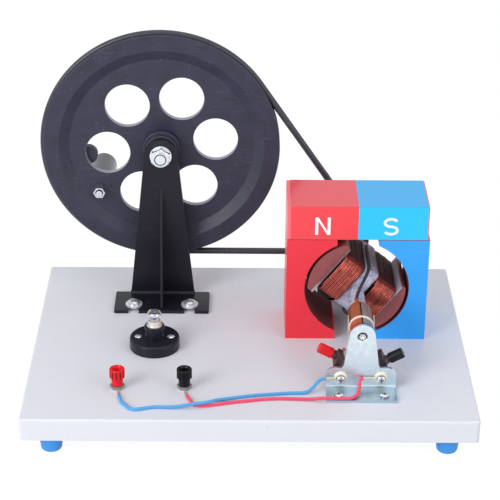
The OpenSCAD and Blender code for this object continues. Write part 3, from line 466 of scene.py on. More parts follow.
def drawn_lines(vector, size, stretch):
    """Fine drawn lines: noise that is squeezed across one direction given by the stretch."""
    return noise(vectors("MULTIPLY", vector, stretch), 1.0 / size, 3.0, 0.6)


def zinc_crystals(vector, size):
    """Crystal patches of a zinc coat, each cell with its own tone and an uneven edge."""
    shift = vectors("MULTIPLY", noise(vector, 300.0, 2.0, output="Color"), (0.0016, 0.0016, 0.0016))
    return cells(vectors("ADD", vector, shift), size)[2]


# Each effect's group: how it is worked out, its output, and its inputs after the vector.
EFFECTS = {
    "Cloudy tone": (cloudy_tone, "Tone", {"Size": 0.01, "Contrast": 0.3}),
    "Coat skin": (coat_skin, "Height", {"Size": 0.001}),
    "Scuffs": (rubbed_streaks, "Mask", {"Length": 0.02, "Amount": 0.5}),
    "Specks": (scattered_specks, "Mask", {"Spacing": 0.004, "Amount": 0.5}),
    "Rubbed edges": (rubbed_edges, "Mask", {"Width": 0.0006, "Amount": 0.6}),
    "Drawn lines": (drawn_lines, "Value", {"Size": 0.0006, "Stretch": (1.0, 1.0, 1.0)}),
    "Zinc crystals": (zinc_crystals, "Tone", {"Size": 0.004}),
}


def build_effects():
    """Makes the shared effects' node groups."""
    for name, (rule, output, inputs) in EFFECTS.items():
        tree = bpy.data.node_groups.new(name, "ShaderNodeTree")
        tree.interface.new_socket(name="Vector", in_out="INPUT", socket_type="NodeSocketVector")
        for label, value in inputs.items():
            kind = "NodeSocketFloat" if isinstance(value, float) else "NodeSocketVector"
            tree.interface.new_socket(name=label, in_out="INPUT", socket_type=kind).default_value = value
        tree.interface.new_socket(name=output, in_out="OUTPUT", socket_type="NodeSocketFloat")
        given = tree.nodes.new("NodeGroupInput").outputs
        made = rule(*(Field(tree, given[label]) for label in ("Vector", *inputs)))
        feed(tree.nodes.new("NodeGroupOutput").inputs, {output: made})


def effect(vector, name, **sockets):
    """A shared effect placed in a material, with its own values."""
    return field(vector.tree, "Group", {"Vector": vector, **sockets},
                 node_tree=bpy.data.node_groups[name])


# Finishes


def finish(name, plain):
    """A new material, its shader's inputs with the plain values set, and the object coordinates."""
    mat = bpy.data.materials.new(name)
    mat.use_nodes = True
    inputs = mat.node_tree.nodes["Principled BSDF"].inputs
    for key, value in plain.items():
        inputs[key].default_value = value
    return mat, inputs, field(mat.node_tree, "TexCoord", output="Object")


def bump(height, depth):
    """Normal of a surface made uneven by a height."""
    return field(height.tree, "Bump", {"Height": height, "Distance": depth, "Strength": 1.0})


def coated(name, colour, worn, rough, cloud=(0.02, 0.25, 0.1), skin=(0.001, 0.00003), scuffs=(0.02, 0.3),
           specks=(0.004, 0.0), edge=(0.0006, 0.0), shine=0.5, coat=(0.0, 0.03), recolour=None):
    """Paint, film or moulding: a cloudy base colour, rubbed streaks, specks and edges in a worn
    colour, roughness that follows them, and a fine skin. Cloud is a size, a contrast and a change of
    tone; skin, scuffs, specks and edge are a size and an amount; coat is a weight and a roughness.
    A recolour gives a mask, its colour and the least roughness there."""
    mat, inputs, at = finish(name, {"Specular IOR Level": shine, "Coat Weight": coat[0],
                                    "Coat Roughness": coat[1]})
    tone = effect(at, "Cloudy tone", Size=cloud[0], Contrast=cloud[1])
    mask = effect(at, "Scuffs", Length=scuffs[0], Amount=scuffs[1])
    if specks[1]:
        mask = mask.most(effect(at, "Specks", Spacing=specks[0], Amount=specks[1]))
    if edge[1]:
        mask = mask.most(effect(at, "Rubbed edges", Width=edge[0], Amount=edge[1]))
    seen = mixed(mask, mixed(tone, toned(colour, 1 - cloud[2]), toned(colour, 1 + cloud[2])), worn)
    matt = spread(tone, 0.0, 1.0, rough * 0.85, rough * 1.15) + mask * 0.15
    if recolour:
        where, other, least = recolour(at)
        seen, matt = mixed(where, seen, other), matt.most(where * least)
    uneven = bump(effect(at, "Coat skin", Size=skin[0]), skin[1])
    feed(inputs, {"Base Color": seen, "Roughness": matt, "Normal": uneven})
    return mat


def metallic(name, colour, dull, rough, lines=(0.0005, (1, 1, 1)), cloud=(0.006, 0.4), dent=0.00001,
             metal=1.0, shine=0.5, spangle=None, turn=0.0, recolour=None):
    """Metal: drawn lines and cloudy dull places change its colour and roughness. The lines' stretch
    may be turned about Y. A recolour gives a mask, its colour and how much of the metal it covers."""
    mat, inputs, at = finish(name, {"Metallic": metal, "Specular IOR Level": shine})
    tone = effect(at, "Cloudy tone", Size=cloud[0], Contrast=cloud[1])
    way = field(at.tree, "Mapping", {"Vector": at, "Rotation": (0, turn, 0)})
    line = effect(way, "Drawn lines", Size=lines[0], Stretch=lines[1])
    mask = tone * spread(line, 0.3, 0.7)
    if spangle:
        mask = mask * 0.4 + effect(at, "Zinc crystals", Size=spangle) * 0.6
    seen = mixed(mask, colour, dull)
    if recolour:
        where, other, cover = recolour(at)
        seen = mixed(where, seen, other)
        if cover:
            feed(inputs, {"Metallic": metal - where * (metal * cover)})
    matt = spread(mask, 0.0, 1.0, rough * 0.7, rough * 1.4)
    feed(inputs, {"Base Color": seen, "Roughness": matt, "Normal": bump(line, dent)})
    return mat


def glossy_film_with_top_shade(name, colour, light, top):
    """Glossy film on the bar: rubbed places are lighter, and its top face takes a darker colour given as
    painted shade.
    """
    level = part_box("magnet_bar")[1].z - BOARD_Z
    return coated(name, colour, toned(colour, light), 0.24, cloud=(0.03, 0.25, 0.05), skin=(0.004, 0.00003),
                  scuffs=(0.03, 0.2), coat=(0.15, 0.1),
                  recolour=partial(level_band, low=level + 0.0001, high=level + 0.00002, colour=top))


def dress(material, nodes):
    """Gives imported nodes, named in one line, a finish."""
    for name in nodes.split():
        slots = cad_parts[name].data.materials
        slots.clear()
        slots.append(material)


def paint(nodes, *look, **more):
    """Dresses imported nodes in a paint, film or moulding."""
    dress(coated(*look, **more), nodes)


def plate(nodes, *look, **more):
    """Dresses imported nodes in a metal."""
    dress(metallic(*look, **more), nodes)


# Recolours: each takes the place, and gives a mask, a colour and a matt or covering share

# Painted shadow of the seam under the bar: its height below the poles' top and its depth from their front.
SHADOW_SEAM_HIGH, SHADOW_SEAM_DEEP = 0.0005, 0.0003
# Shares of a screw head's radius for its painted shade: half an arm of its recess, the arm's reach and the
# rim's inside.
RECESS, REACH, RIM = 0.13, 0.62, 0.93
# Painted shade in the flutes of a post's cap: their depth, the skin over them and the level of the cap's
# round edge.
FLUTE, FLUTE_SKIN, CAP_EDGE = 0.0007, 0.00008, 0.0154
# Top of the posts' nuts, over the board.
NUT_TOP = 0.0035
# Lamp's bead: its middle under the globe's, and half its height.
BEAD_DROP, BEAD_HALF = 0.00185, 0.0007
# Where the painted shade on the coils' backs starts and where it is full, along the shaft.
BACK_SHADE = (0.0004, 0.003)


def dark_bore_and_seam_shadow(at):
    """The bore's wall, dark and matt up to the lips: within the bore's radius of the armature axis.
    So is a painted shadow of the seam under the bar, along the top of the front face."""
    x, y, z = at.parts()
    low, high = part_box("pole_north")
    dx = x - ARM_X
    wall = (distance(dx, z - (ARM_Z + BOARD_Z)) < BORE_R) * (abs(dx) > POLE_GAP)
    seam_shadow = (z > high.z - SHADOW_SEAM_HIGH) * (y < low.y + SHADOW_SEAM_DEEP)
    return seam_shadow.most(wall), (118, 46, 48), 0.85


def bright_holes(at):
    """Paler walls of the wheel's six holes: the place's angle about the axle is folded into one
    sixth of a turn, and the cosine rule gives its distance from that hole's middle."""
    x, _, z = at.parts()
    dx, dz = x - WHEEL_X, z - (WHEEL_Z + BOARD_Z)
    sixth = math.pi / 3
    angle = dz.work("ARCTAN2", dx) + (4 * math.pi - HOLE_TURN + sixth / 2)
    fold = angle.work("MODULO", sixth) - sixth / 2
    out = distance(dx, dz)
    gap = out * out + HOLE_PITCH**2 - out * fold.work("COSINE") * (2 * HOLE_PITCH)
    return gap < HOLE_R**2, (150, 148, 162), 0.4


def level_band(at, low, high, colour):
    """A colour by height over the board: full under the first level and none over the second, or
    full over the first where that is the higher one."""
    return spread(at.parts()[2], BOARD_Z + low, BOARD_Z + high, 1.0, 0.0), colour, 0.0


def painted_shade_ring(at, x, z, inner, outer, behind):
    """A ring of painted shade between two radii, on the front end of a bolt or shaft along Y."""
    across, along, over = at.parts()
    gap = distance(across - x, over - (z + BOARD_Z))
    return (gap < outer) * (gap > inner) * (along < behind), (58, 58, 66), 0.0


def head_shade(at, half, middle, radius, axis):
    """Two screw heads, half a spacing either side of the armature's axis: painted shade in the cross
    recess and round the rim, by the place's two distances from the nearer head's middle."""
    place = at.parts()
    u, v = abs(abs(place[0] - ARM_X) - half), abs(place[axis] - middle)
    arms = (u.least(v) < RECESS * radius) * (u.most(v) < REACH * radius)
    return arms.most(distance(u, v) > RIM * radius), (126, 128, 136), 0.0


def flute_shade(at, x, y, radius, colour):
    """Painted shade in the flutes of a standing cap: just inside its collar's radius, under its round edge.
    """
    across, along, over = at.parts()
    gap = distance(across - x, along - (y + BOARD_Y))
    band = (gap < radius - FLUTE_SKIN) * (gap > radius - FLUTE)
    return band * (over < BOARD_Z + CAP_EDGE), colour, 0.0


def post_ends(at):
    """Bright nut at the foot of both posts; over it the left post's end is red, the other dark."""
    x, _, z = at.parts()
    red, nut = x < float(LAMP[0]), z < BOARD_Z + NUT_TOP
    return red.most(nut), mixed(nut, (240, 56, 50), (150, 148, 152)), 0.0


def bead_middle(at):
    """Clear glass and bright wires away from the middle of the lamp's bead."""
    off = abs(at.parts()[2] - (float(LAMP[2]) + BOARD_Z - BEAD_DROP))
    return off > BEAD_HALF, (214, 212, 222), 0.0


def shaded_coil_back(at):
    """The coils behind their front turns, dark with painted shade under the bar: by the place along the
    shaft.
    """
    start, full = BACK_SHADE
    return spread(at.parts()[1], BOARD_Y + start, BOARD_Y + full), (92, 48, 50), 1.0


# Operators


class GENERATOR_OT_stage(bpy.types.Operator):
    """Camera at the photographed angle, soft lights, pale floor and world"""

    bl_idname = "generator.stage"
    bl_label = "Stage"

    # Camera: its place, its pitch, yaw and roll in degrees, and its lens on a sensor's width.
    PLACE, TURNS, LENS, SENSOR = (-0.0091, -1.1299, 0.673), (26.91, 0.46, 0.56), 123.4, 36.0
    # Lights: name, place, size and power. All aim at one point over the board.
    LIGHTS = (("key_light", (-1.1, -1.1, 0.85), 0.9, 17.0),
              ("fill_light", (1.1, -0.9, 0.75), 1.1, 5.5),
              ("top_light", (0.1, 0.1, 1.5), 1.0, 3.0))
    AIM = Vector((0, 0, 0.08))
    # Background's strength as light and as seen.
    AS_LIGHT, AS_SEEN = 0.55, 1.0
    # Floor: how far it reaches from the middle, and its level just under the feet.
    REACH, UNDER = 3.0, -0.0002
    # Its grey as it sends light back, and its grey and glow as it is seen.
    GREY, THIN, GLOW = 0.8, 0.12, 0.93

    def execute(self, context):
        scene = context.scene
        scene.view_settings.view_transform = "Standard"
        pitch, yaw, roll = (math.radians(a) for a in self.TURNS)
        turned = (Matrix.Rotation(-yaw, 4, "Z") @ Matrix.Rotation(math.pi / 2 - pitch, 4, "X")
                  @ Matrix.Rotation(roll, 4, "Z"))
        lens = bpy.data.cameras.new("photo_camera")
        lens.sensor_width, lens.lens = self.SENSOR, self.LENS
        lens.clip_start, lens.clip_end = 0.05, 50.0
        camera = bpy.data.objects.new("photo_camera", lens)
        camera.matrix_world = Matrix.Translation(self.PLACE) @ turned
        scene.collection.objects.link(camera)
        scene.camera = camera
        for name, place, size, power in self.LIGHTS:
            lamp = bpy.data.lights.new(name, "AREA")
            lamp.size, lamp.energy = size, power
            holder = bpy.data.objects.new(name, lamp)
            turned = (self.AIM - Vector(place)).to_track_quat("-Z", "Y").to_matrix().to_4x4()
            holder.matrix_world = Matrix.Translation(place) @ turned
            scene.collection.objects.link(holder)
        self.light_world(scene)
        self.lay_floor(scene)
        return {"FINISHED"}

    def clear_rays(self, tree):
        """One for camera, glossy and transmission rays, nothing for the others."""
        path = put(tree, "LightPath").outputs
        camera, glossy, through = (Field(tree, path[f"Is {kind} Ray"])
                                   for kind in ("Camera", "Glossy", "Transmission"))
        return camera.most(glossy.most(through))

    def light_world(self, scene):
        """Even soft light, with a white background for camera, glossy and transmission rays."""
        world = bpy.data.worlds.new("soft_room")
        world.use_nodes = True
        t = world.node_tree
        back = t.nodes["Background"].inputs
        back["Color"].default_value = (1, 1, 1, 1)
        feed(back, {"Strength": spread(self.clear_rays(t), 0.0, 1.0, self.AS_LIGHT, self.AS_SEEN)})
        scene.world = world

    def lay_floor(self, scene):
        """Pale floor: a wide flat grid, white to the camera and in mirrors, with the soft shadow kept."""
        u = np.linspace(-self.REACH, self.REACH, 25)
        grid = rows(u, u[:, None], self.UNDER)
        points, faces, name = surface("pale_floor", grid, wrap_v=False, capped=False)
        mesh = bpy.data.meshes.new(name)
        mesh.from_pydata(points.tolist(), [], faces.tolist())
        floor = bpy.data.objects.new(name, mesh)
        mat = bpy.data.materials.new(name)
        mat.use_nodes = True
        t = mat.node_tree
        t.nodes.remove(t.nodes["Principled BSDF"])
        matt, thin = (field(t, "BsdfDiffuse", {"Color": (g, g, g, 1)}) for g in (self.GREY, self.THIN))
        glow = field(t, "Emission", {"Color": (1, 1, 1, 1), "Strength": self.GLOW})
        white = field(t, "AddShader", {0: thin, 1: glow})
        pick = field(t, "MixShader", {0: self.clear_rays(t), 1: matt, 2: white})
        feed(t.nodes["Material Output"].inputs, {"Surface": pick})
        mesh.materials.append(mat)
        scene.collection.objects.link(floor)


class GENERATOR_OT_leads(bpy.types.Operator):
    """The two loose leads on the board, with their bare tails on the lugs"""

    bl_idname = "generator.leads"
    bl_label = "Leads"

    # Routes of the leads and of their bare ends, in millimetres from the board frame.
    BLUE = [[-92.4, -84.2, 1.2], [-90, -92.8, 1.2], [-86.8, -97, 1.2], [-83.8, -101.2, 1.2],
            [-79.5, -102.6, 1.2], [-73, -100.8, 1.2], [-66, -99.3, 1.2], [-55.7, -99.6, 1.3],
            [-45, -99.4, 2.6], [-38.5, -98.8, 3.8], [-31.3, -97.6, 3.9], [-25.4, -94.5, 3.5],
            [-19.4, -89.8, 1.8], [-7.3, -85.7, 1.2], [4.9, -83, 1.2], [17.1, -81.4, 1.2], [28, -80, 1.2],
            [39, -79.5, 1.4], [44, -77.5, 3.4], [48.5, -75, 7.6], [51.5, -73.6, 9.2], [54.2, -73.3, 9.2]]
    RED = [[-44.5, -84.2, 1.2], [-42.4, -88.6, 1.2], [-40.3, -93.6, 1.2], [-36.6, -97.1, 1.2],
           [-31.3, -97.2, 1.2], [-25.3, -96, 1.2], [-13.3, -92.9, 1.2], [-1.2, -90.4, 1.2],
           [10.9, -88.1, 1.2], [23.1, -87.4, 1.2], [42, -88.5, 1.6], [51, -90, 3.3], [62, -90.4, 3.4],
           [70, -90, 3.4], [75, -86.6, 3.6], [77.3, -81.5, 5.4], [77.9, -77, 7.9], [78.6, -74.4, 9.1],
           [80.4, -73.4, 9.2]]
    BLUE_TAILS = ([[-92.2, -85.2, 1.25], [-92.5, -83.2, 1.3], [-93.1, -79.4, 1.25]],
                  [[53.4, -73.6, 9.2], [54.3, -74.1, 9.2], [56, -74.2, 9.2], [59.5, -74.2, 9.2]])
    RED_TAILS = ([[-44.2, -85, 1.25], [-44.8, -83.2, 1.3], [-45.4, -79.4, 1.25]],
                 [[79.8, -73.8, 9.2], [80.8, -74.15, 9.2], [82.5, -74.2, 9.2], [87, -74.2, 9.2]])
    TAIL_R = 0.00048

    def execute(self, context):
        sizes, colours = context.scene.generator_sizes, context.scene.generator_colours
        radius = sizes.lead_diameter / 2
        strands = metallic("bare_strands", (206, 198, 190), (150, 128, 116), 0.35, lines=(0.0004, (1, 1, 1)))
        for node, slot, corners, tails, colour in (
                ("blue_lead", "lead_blue", self.BLUE, self.BLUE_TAILS, colours.blue_lead),
                ("red_lead", "lead_red", self.RED, self.RED_TAILS, colours.red_lead)):
            path = board_line(corners, 8)
            skin = coated(node + "_skin", colour, toned(colour, 1.3), 0.32, cloud=(0.012, 0.2, 0.05),
                          skin=(0.0008, 0.00002), scuffs=(0.01, 0.25))
            lead = add_piece([tube("loose_" + node, path, radius, level_side(path), 16)], skin, "base",
                             [node])
            lines = [board_line(c, 6) for c in tails]
            ends = add_piece([tube("bare_ends_" + node, line, self.TAIL_R, level_side(line), 10)
                              for line in lines], strands, "base")
        return {"FINISHED"}


class GENERATOR_OT_coils(bpy.types.Operator):
    """The outer layer of wire on both coils"""

    bl_idname = "generator.coils"
    bl_label = "Coil wire"

    # Under the wire: half the coil across and along the shaft, and its corner's radius.
    ACROSS, ALONG, CORNER = 0.0162, 0.0260, 0.0042
    # The layer's start along the arm, its length and the gap at its ends.
    START, LENGTH, GAP = 0.0061, 0.0180, 0.0001
    # How far the turns swell over the coil's ends, at the layer's middle and by turns.
    BELLY, CROWN, STRAY = 0.0011, 0.0004, 0.00012
    # How far they wander along the arm, twice in each turn and slowly.
    WANDER, DRIFT = 0.00007, 0.00006

    def execute(self, context):
        sizes = context.scene.generator_sizes
        turns, r = sizes.wire_turns, sizes.wire_diameter / 2
        half = self.ACROSS + r
        q, out = finer(*coil_outline(half, self.ALONG + r, self.CORNER + r, 5), 6)
        n = len(q)
        i = np.arange(turns * n + 1)
        k = i / n
        pitch = (self.LENGTH - 2 * (r + self.GAP)) / turns
        wander = (self.WANDER * np.sin(4 * np.pi * k + 1.7 * np.floor(k))
                  + self.DRIFT * np.sin(2.9 * k + 0.6))
        belly = self.BELLY * (1 - (q[:, 0] / half) ** 2) * np.abs(out[:, 1])
        crown = self.CROWN * (1 - (2 * k / turns - 1) ** 2) + self.STRAY * np.sin(5.1 * np.floor(k))
        lift = belly[i % n] + crown
        along = self.START + r + self.GAP + pitch * k + wander
        across = q[i % n, 0] + lift * out[i % n, 0]
        y = CORE_Y + q[i % n, 1] + lift * out[i % n, 1]
        shapes = []
        for side in (1, -1):
            path = arm_points(side * along, y, side * across)
            outward = arm_points(0 * k, out[i % n, 1], side * out[i % n, 0]) - arm_points(0.0, 0.0, 0.0)
            shapes.append(tube("coil_strands", path, r, outward, 8))
        colour = context.scene.generator_colours.copper
        # The wire behind the coils' front turns is painted dark as shade, by its place along the shaft.
        wire = metallic("enamelled_wire", colour, toned(colour, 0.3), 0.3, lines=(0.0016, (1, 0.04, 0.04)),
                        cloud=(0.005, 0.8), metal=0.75, shine=0.03, turn=ARM_TURN,
                        recolour=shaded_coil_back)
        add_piece(shapes, wire, "armature", ["coil_windings"])
        # The inner layers are painted dark, as the shade seen between the outer turns.
        plate("coil_cores", "inner_layers", (58, 32, 28), (26, 16, 15), 0.5)
        return {"FINISHED"}


class GENERATOR_OT_sleeves(bpy.types.Operator):
    """Woven sleeves from the coils to the commutator"""

    bl_idname = "generator.sleeves"
    bl_label = "Armature leads"

    # Route of one sleeve, in millimetres: along the arm, along the shaft and across.
    PATH = [[4.5, 34, -19.8], [4.5, 16, -19.8], [4.5, 2, -19.8], [4.7, -5, -18.2], [5.6, -13, -14.2],
            [6.9, -22, -10], [7.9, -30, -7.2], [8.1, -35.1, -6.4]]
    # Share of the radius by which the weave swells and narrows.
    SWELL = 0.04

    def execute(self, context):
        line = smooth_line(np.array(self.PATH) / 1000, 20)
        swell = 1 - self.SWELL + self.SWELL * np.sin(np.arange(len(line)) * 1.9)
        radius = context.scene.generator_sizes.sleeve_diameter / 2 * swell
        shapes = []
        for side in (1, -1):
            path = arm_points(side * line[:, 0], line[:, 1], side * line[:, 2])
            shapes.append(tube("woven_sleeves", path, radius, level_side(path), 14))
        weave = coated("woven_sleeve", (36, 38, 50), (96, 98, 114), 0.6, cloud=(0.0009, 0.5, 0.3),
                       skin=(0.0004, 0.00015), scuffs=(0.004, 0.5))
        add_piece(shapes, weave, "armature", ["armature_leads"])
        return {"FINISHED"}


class GENERATOR_OT_wrap(bpy.types.Operator):
    """Creased fibre tape round the core's middle, between the coils"""

    bl_idname = "generator.wrap"
    bl_label = "Core tape"

    # The tape: half its loop across and along the shaft, its corner's radius and half its width.
    ACROSS, ALONG, CORNER, HALF = 0.0184, 0.0250, 0.0040, 0.0058
    # Depth of its creases, and how far its face and its back lie under the loop.
    CREASE, FACE, BACK = 0.00026, 0.00022, 0.0024
    # The taped neck: its radius, the depth of its ripples and its ends along the shaft.
    NECK, RIPPLE, NECK_ENDS = 0.0049, 0.0001, (-0.033, -0.0005)

    def execute(self, context):
        ring, face = finer(*coil_outline(self.ACROSS, self.ALONG, self.CORNER, 14), 8)
        s = np.linspace(-self.HALF, self.HALF, 33)
        a = np.arange(len(ring))[:, None] / len(ring) * 2 * np.pi
        waves = np.sin(37 * a + 900 * s) + np.sin(61 * a - 1500 * s + 1.3) + np.sin(23 * a + 2200 * s + 0.7)
        depth = self.CREASE * waves / 3 - self.FACE
        outer = tape_side(ring, face, depth, s)
        inner = tape_side(ring, face, np.full_like(depth, -self.BACK), s)[:, ::-1]
        grid = np.concatenate([outer, inner], 1)
        tape = coated("fibre_tape", (178, 174, 196), (218, 216, 228), 0.75, cloud=(0.0026, 0.8, 0.35),
                      skin=(0.0007, 0.0002), scuffs=(0.006, 0.6))
        y = np.linspace(*self.NECK_ENDS, 80)
        radius = self.NECK + self.RIPPLE * np.sin(y * 2600 + 0.8 * np.sin(y * 900))
        neck = tube("taped_neck", arm_points(0 * y, y, 0 * y), radius, np.tile([0.0, 0.0, 1.0], (80, 1)), 32)
        add_piece([surface("creased_tape", grid, wrap_u=True), neck], tape, "armature",
                  ["core_wrap"])
        paint("slot_liners", "slot_paper", (120, 98, 106), (170, 156, 168), 0.7, cloud=(0.003, 0.5, 0.2),
              skin=(0.0008, 0.00006), scuffs=(0.006, 0.4),
              recolour=partial(level_band, low=0.045, high=0.050, colour=(166, 162, 182)))
        return {"FINISHED"}


class GENERATOR_OT_belt(bpy.types.Operator):
    """Round drive belt over the wheel and the small pulley, with its welded joint"""

    bl_idname = "generator.belt"
    bl_label = "Drive belt"

    # Points on each straight run, and how far along the upper run the joint is.
    RUN, JOINT = 60, 22
    # How far the surface stays inside the belt's size, and the joint's swell and its reach in points.
    INSIDE, SWELL, REACH = 0.00002, 0.00012, 0.8

    def execute(self, context):
        dx, dz = ARM_X - WHEEL_X, ARM_Z - WHEEL_Z
        heading = math.atan2(dz, dx)
        opening = math.acos((BELT_BIG - BELT_SMALL) / math.hypot(dx, dz))
        wheel = heading + np.linspace(opening, 2 * math.pi - opening, 160)
        pulley = heading + np.linspace(-opening, opening, 50)
        run = np.linspace(0, 1, self.RUN + 2)[1:-1, None]
        w = circle(WHEEL_X, WHEEL_Z, BELT_BIG, wheel)
        p = circle(ARM_X, ARM_Z, BELT_SMALL, pulley)
        line = np.vstack([w, w[-1] + (p[0] - w[-1]) * run, p, p[-1] + (w[0] - p[-1]) * run])
        turn = np.concatenate([wheel, np.full(self.RUN, pulley[0]), pulley, np.full(self.RUN, pulley[-1])])
        path = rows(line[:, 0], BELT_Y, line[:, 1]) + BOARD
        out = rows(np.cos(turn), 0.0, np.sin(turn))
        joint = len(w) + self.RUN + len(p) + self.JOINT
        radius = context.scene.generator_sizes.belt_diameter / 2 - self.INSIDE
        bulge = self.SWELL * np.exp(-((np.arange(len(path)) - joint) / self.REACH) ** 2)
        rubber = coated("belt_rubber", (50, 48, 60), (110, 110, 128), 0.4, cloud=(0.006, 0.4, 0.15),
                        skin=(0.0006, 0.00004), scuffs=(0.012, 0.5))
        add_piece([tube("round_belt", path, radius + bulge, out, 24, closed=True)], rubber, "base",
                  ["drive_belt"])
        return {"FINISHED"}


class GENERATOR_OT_marks(bpy.types.Operator):
    """Red film on the bar's north half and the two white pole letters"""

    bl_idname = "generator.marks"
    bl_label = "Pole marks"

    # Middles of the letters on the bar's front, their width, and the N's bolder stroke.
    N_PLACE, S_PLACE = (0.05264, -0.0003, 0.0940), (0.1022, -0.0003, 0.0939)
    WIDTH, BOLD = 0.0111, 1.15

    def execute(self, context):
        sizes = context.scene.generator_sizes
        h, w = sizes.letter_height, sizes.letter_stroke
        paper = coated("white_print", (250, 250, 250), (225, 225, 228), 0.4, cloud=(0.004, 0.2, 0.02),
                       scuffs=(0.006, 0.2))
        bold = letter_n(self.WIDTH / 2, h / 2, self.BOLD * w, self.N_PLACE + BOARD)
        line = s_line((self.WIDTH - w) / 2, (h - w) / 2)
        for letter in (bold, ribbon("letter_s", line, w, self.S_PLACE + BOARD)):
            add_piece([letter], paper, "base", flat=True)
        red = context.scene.generator_colours.red_film
        # The red film's top face is painted darker, as shade.
        film = glossy_film_with_top_shade("red_film_skin", red, 1.25, (229, 60, 78))
        add_piece([bar_film()], film, "base", flat=True)
        return {"FINISHED"}


class GENERATOR_OT_filament(bpy.types.Operator):
    """Fine coiled filament between the lamp's posts"""

    bl_idname = "generator.filament"
    bl_label = "Filament"

    # Turns of the filament, the radius of its turns and its wire, half its length and its level.
    TURNS, COIL, WIRE, HALF, LEVEL = 9, 0.00022, 0.00006, 0.0011, 0.0012

    def execute(self, context):
        k = np.linspace(0, 1, 181)
        a = k * 2 * np.pi * self.TURNS
        side = rows(0.0, np.cos(a), np.sin(a))
        middle = rows(self.HALF * (2 * k - 1), 0.0, self.LEVEL)
        path = middle + self.COIL * side + LAMP + BOARD
        wire = metallic("lamp_wire", (120, 118, 125), (70, 68, 75), 0.35)
        add_piece([tube("filament", path, self.WIRE, side, 6)], wire, "bulb")
        return {"FINISHED"}


class GENERATOR_OT_board(bpy.types.Operator):
    """Pale board and blue rubber feet"""

    bl_idname = "generator.board"
    bl_label = "Board and feet"

    def execute(self, context):
        c = context.scene.generator_colours
        paint("base_board", "board_laminate", c.board, (190, 192, 204), 0.42, cloud=(0.07, 0.2, 0.03),
              skin=(0.0012, 0.00003), scuffs=(0.05, 0.18), specks=(0.006, 0.03), edge=(0.0008, 0.2))
        paint("rubber_feet", "foot_rubber", c.rubber, toned(c.rubber, 1.4), 0.55, cloud=(0.008, 0.3, 0.08),
              skin=(0.0008, 0.00006), scuffs=(0.01, 0.3))
        return {"FINISHED"}


class GENERATOR_OT_wheel(bpy.types.Operator):
    """Black coats of the wheel, its weight and stand, and the rear bracket"""

    bl_idname = "generator.wheel"
    bl_label = "Wheel and stand"

    def execute(self, context):
        c = context.scene.generator_colours
        paint("flywheel", "wheel_coat", c.wheel, (96, 98, 112), 0.46, cloud=(0.014, 0.6, 0.28),
              skin=(0.0009, 0.00006), scuffs=(0.016, 0.4), specks=(0.0045, 0.45), edge=(0.0006, 0.5),
              recolour=bright_holes)
        paint("balance_weight", "weight_coat", c.wheel, (84, 84, 94), 0.5, cloud=(0.004, 0.5, 0.3))
        paint("wheel_stand axle_spacer", "stand_coat", c.stand, (70, 70, 78), 0.36, cloud=(0.03, 0.3, 0.1),
              skin=(0.0011, 0.00004), edge=(0.0005, 0.25), shine=0.3)
        paint("rear_bracket", "rear_coat", (22, 14, 15), (48, 40, 42), 0.6, shine=0.08)
        return {"FINISHED"}


class GENERATOR_OT_magnet(bpy.types.Operator):
    """Enamel of the pole blocks with dark bores and a painted shadow under the bar, the bar and its blue
    film
    """

    bl_idname = "generator.magnet"
    bl_label = "Magnet"

    def execute(self, context):
        c = context.scene.generator_colours
        # The poles' recolour also paints a shadow along the seam under the bar.
        for node, colour in (("pole_north", c.red_pole), ("pole_south", c.blue_pole)):
            paint(node, node + "_enamel", colour, toned(colour, 1.35), 0.34, cloud=(0.03, 0.25, 0.05),
                  skin=(0.0014, 0.00004), scuffs=(0.02, 0.2), edge=(0.0006, 0.35), recolour=dark_bore_and_seam_shadow)
        bar = (248, 108, 116)
        paint("magnet_bar", "bar_enamel", bar, toned(bar, 1.3), 0.3, cloud=(0.02, 0.25, 0.06),
              scuffs=(0.02, 0.25))
        # The blue film's top face is painted darker, as shade.
        dress(glossy_film_with_top_shade("blue_film_skin", c.blue_film, 1.2, (12, 172, 240)), "south_label")
        return {"FINISHED"}


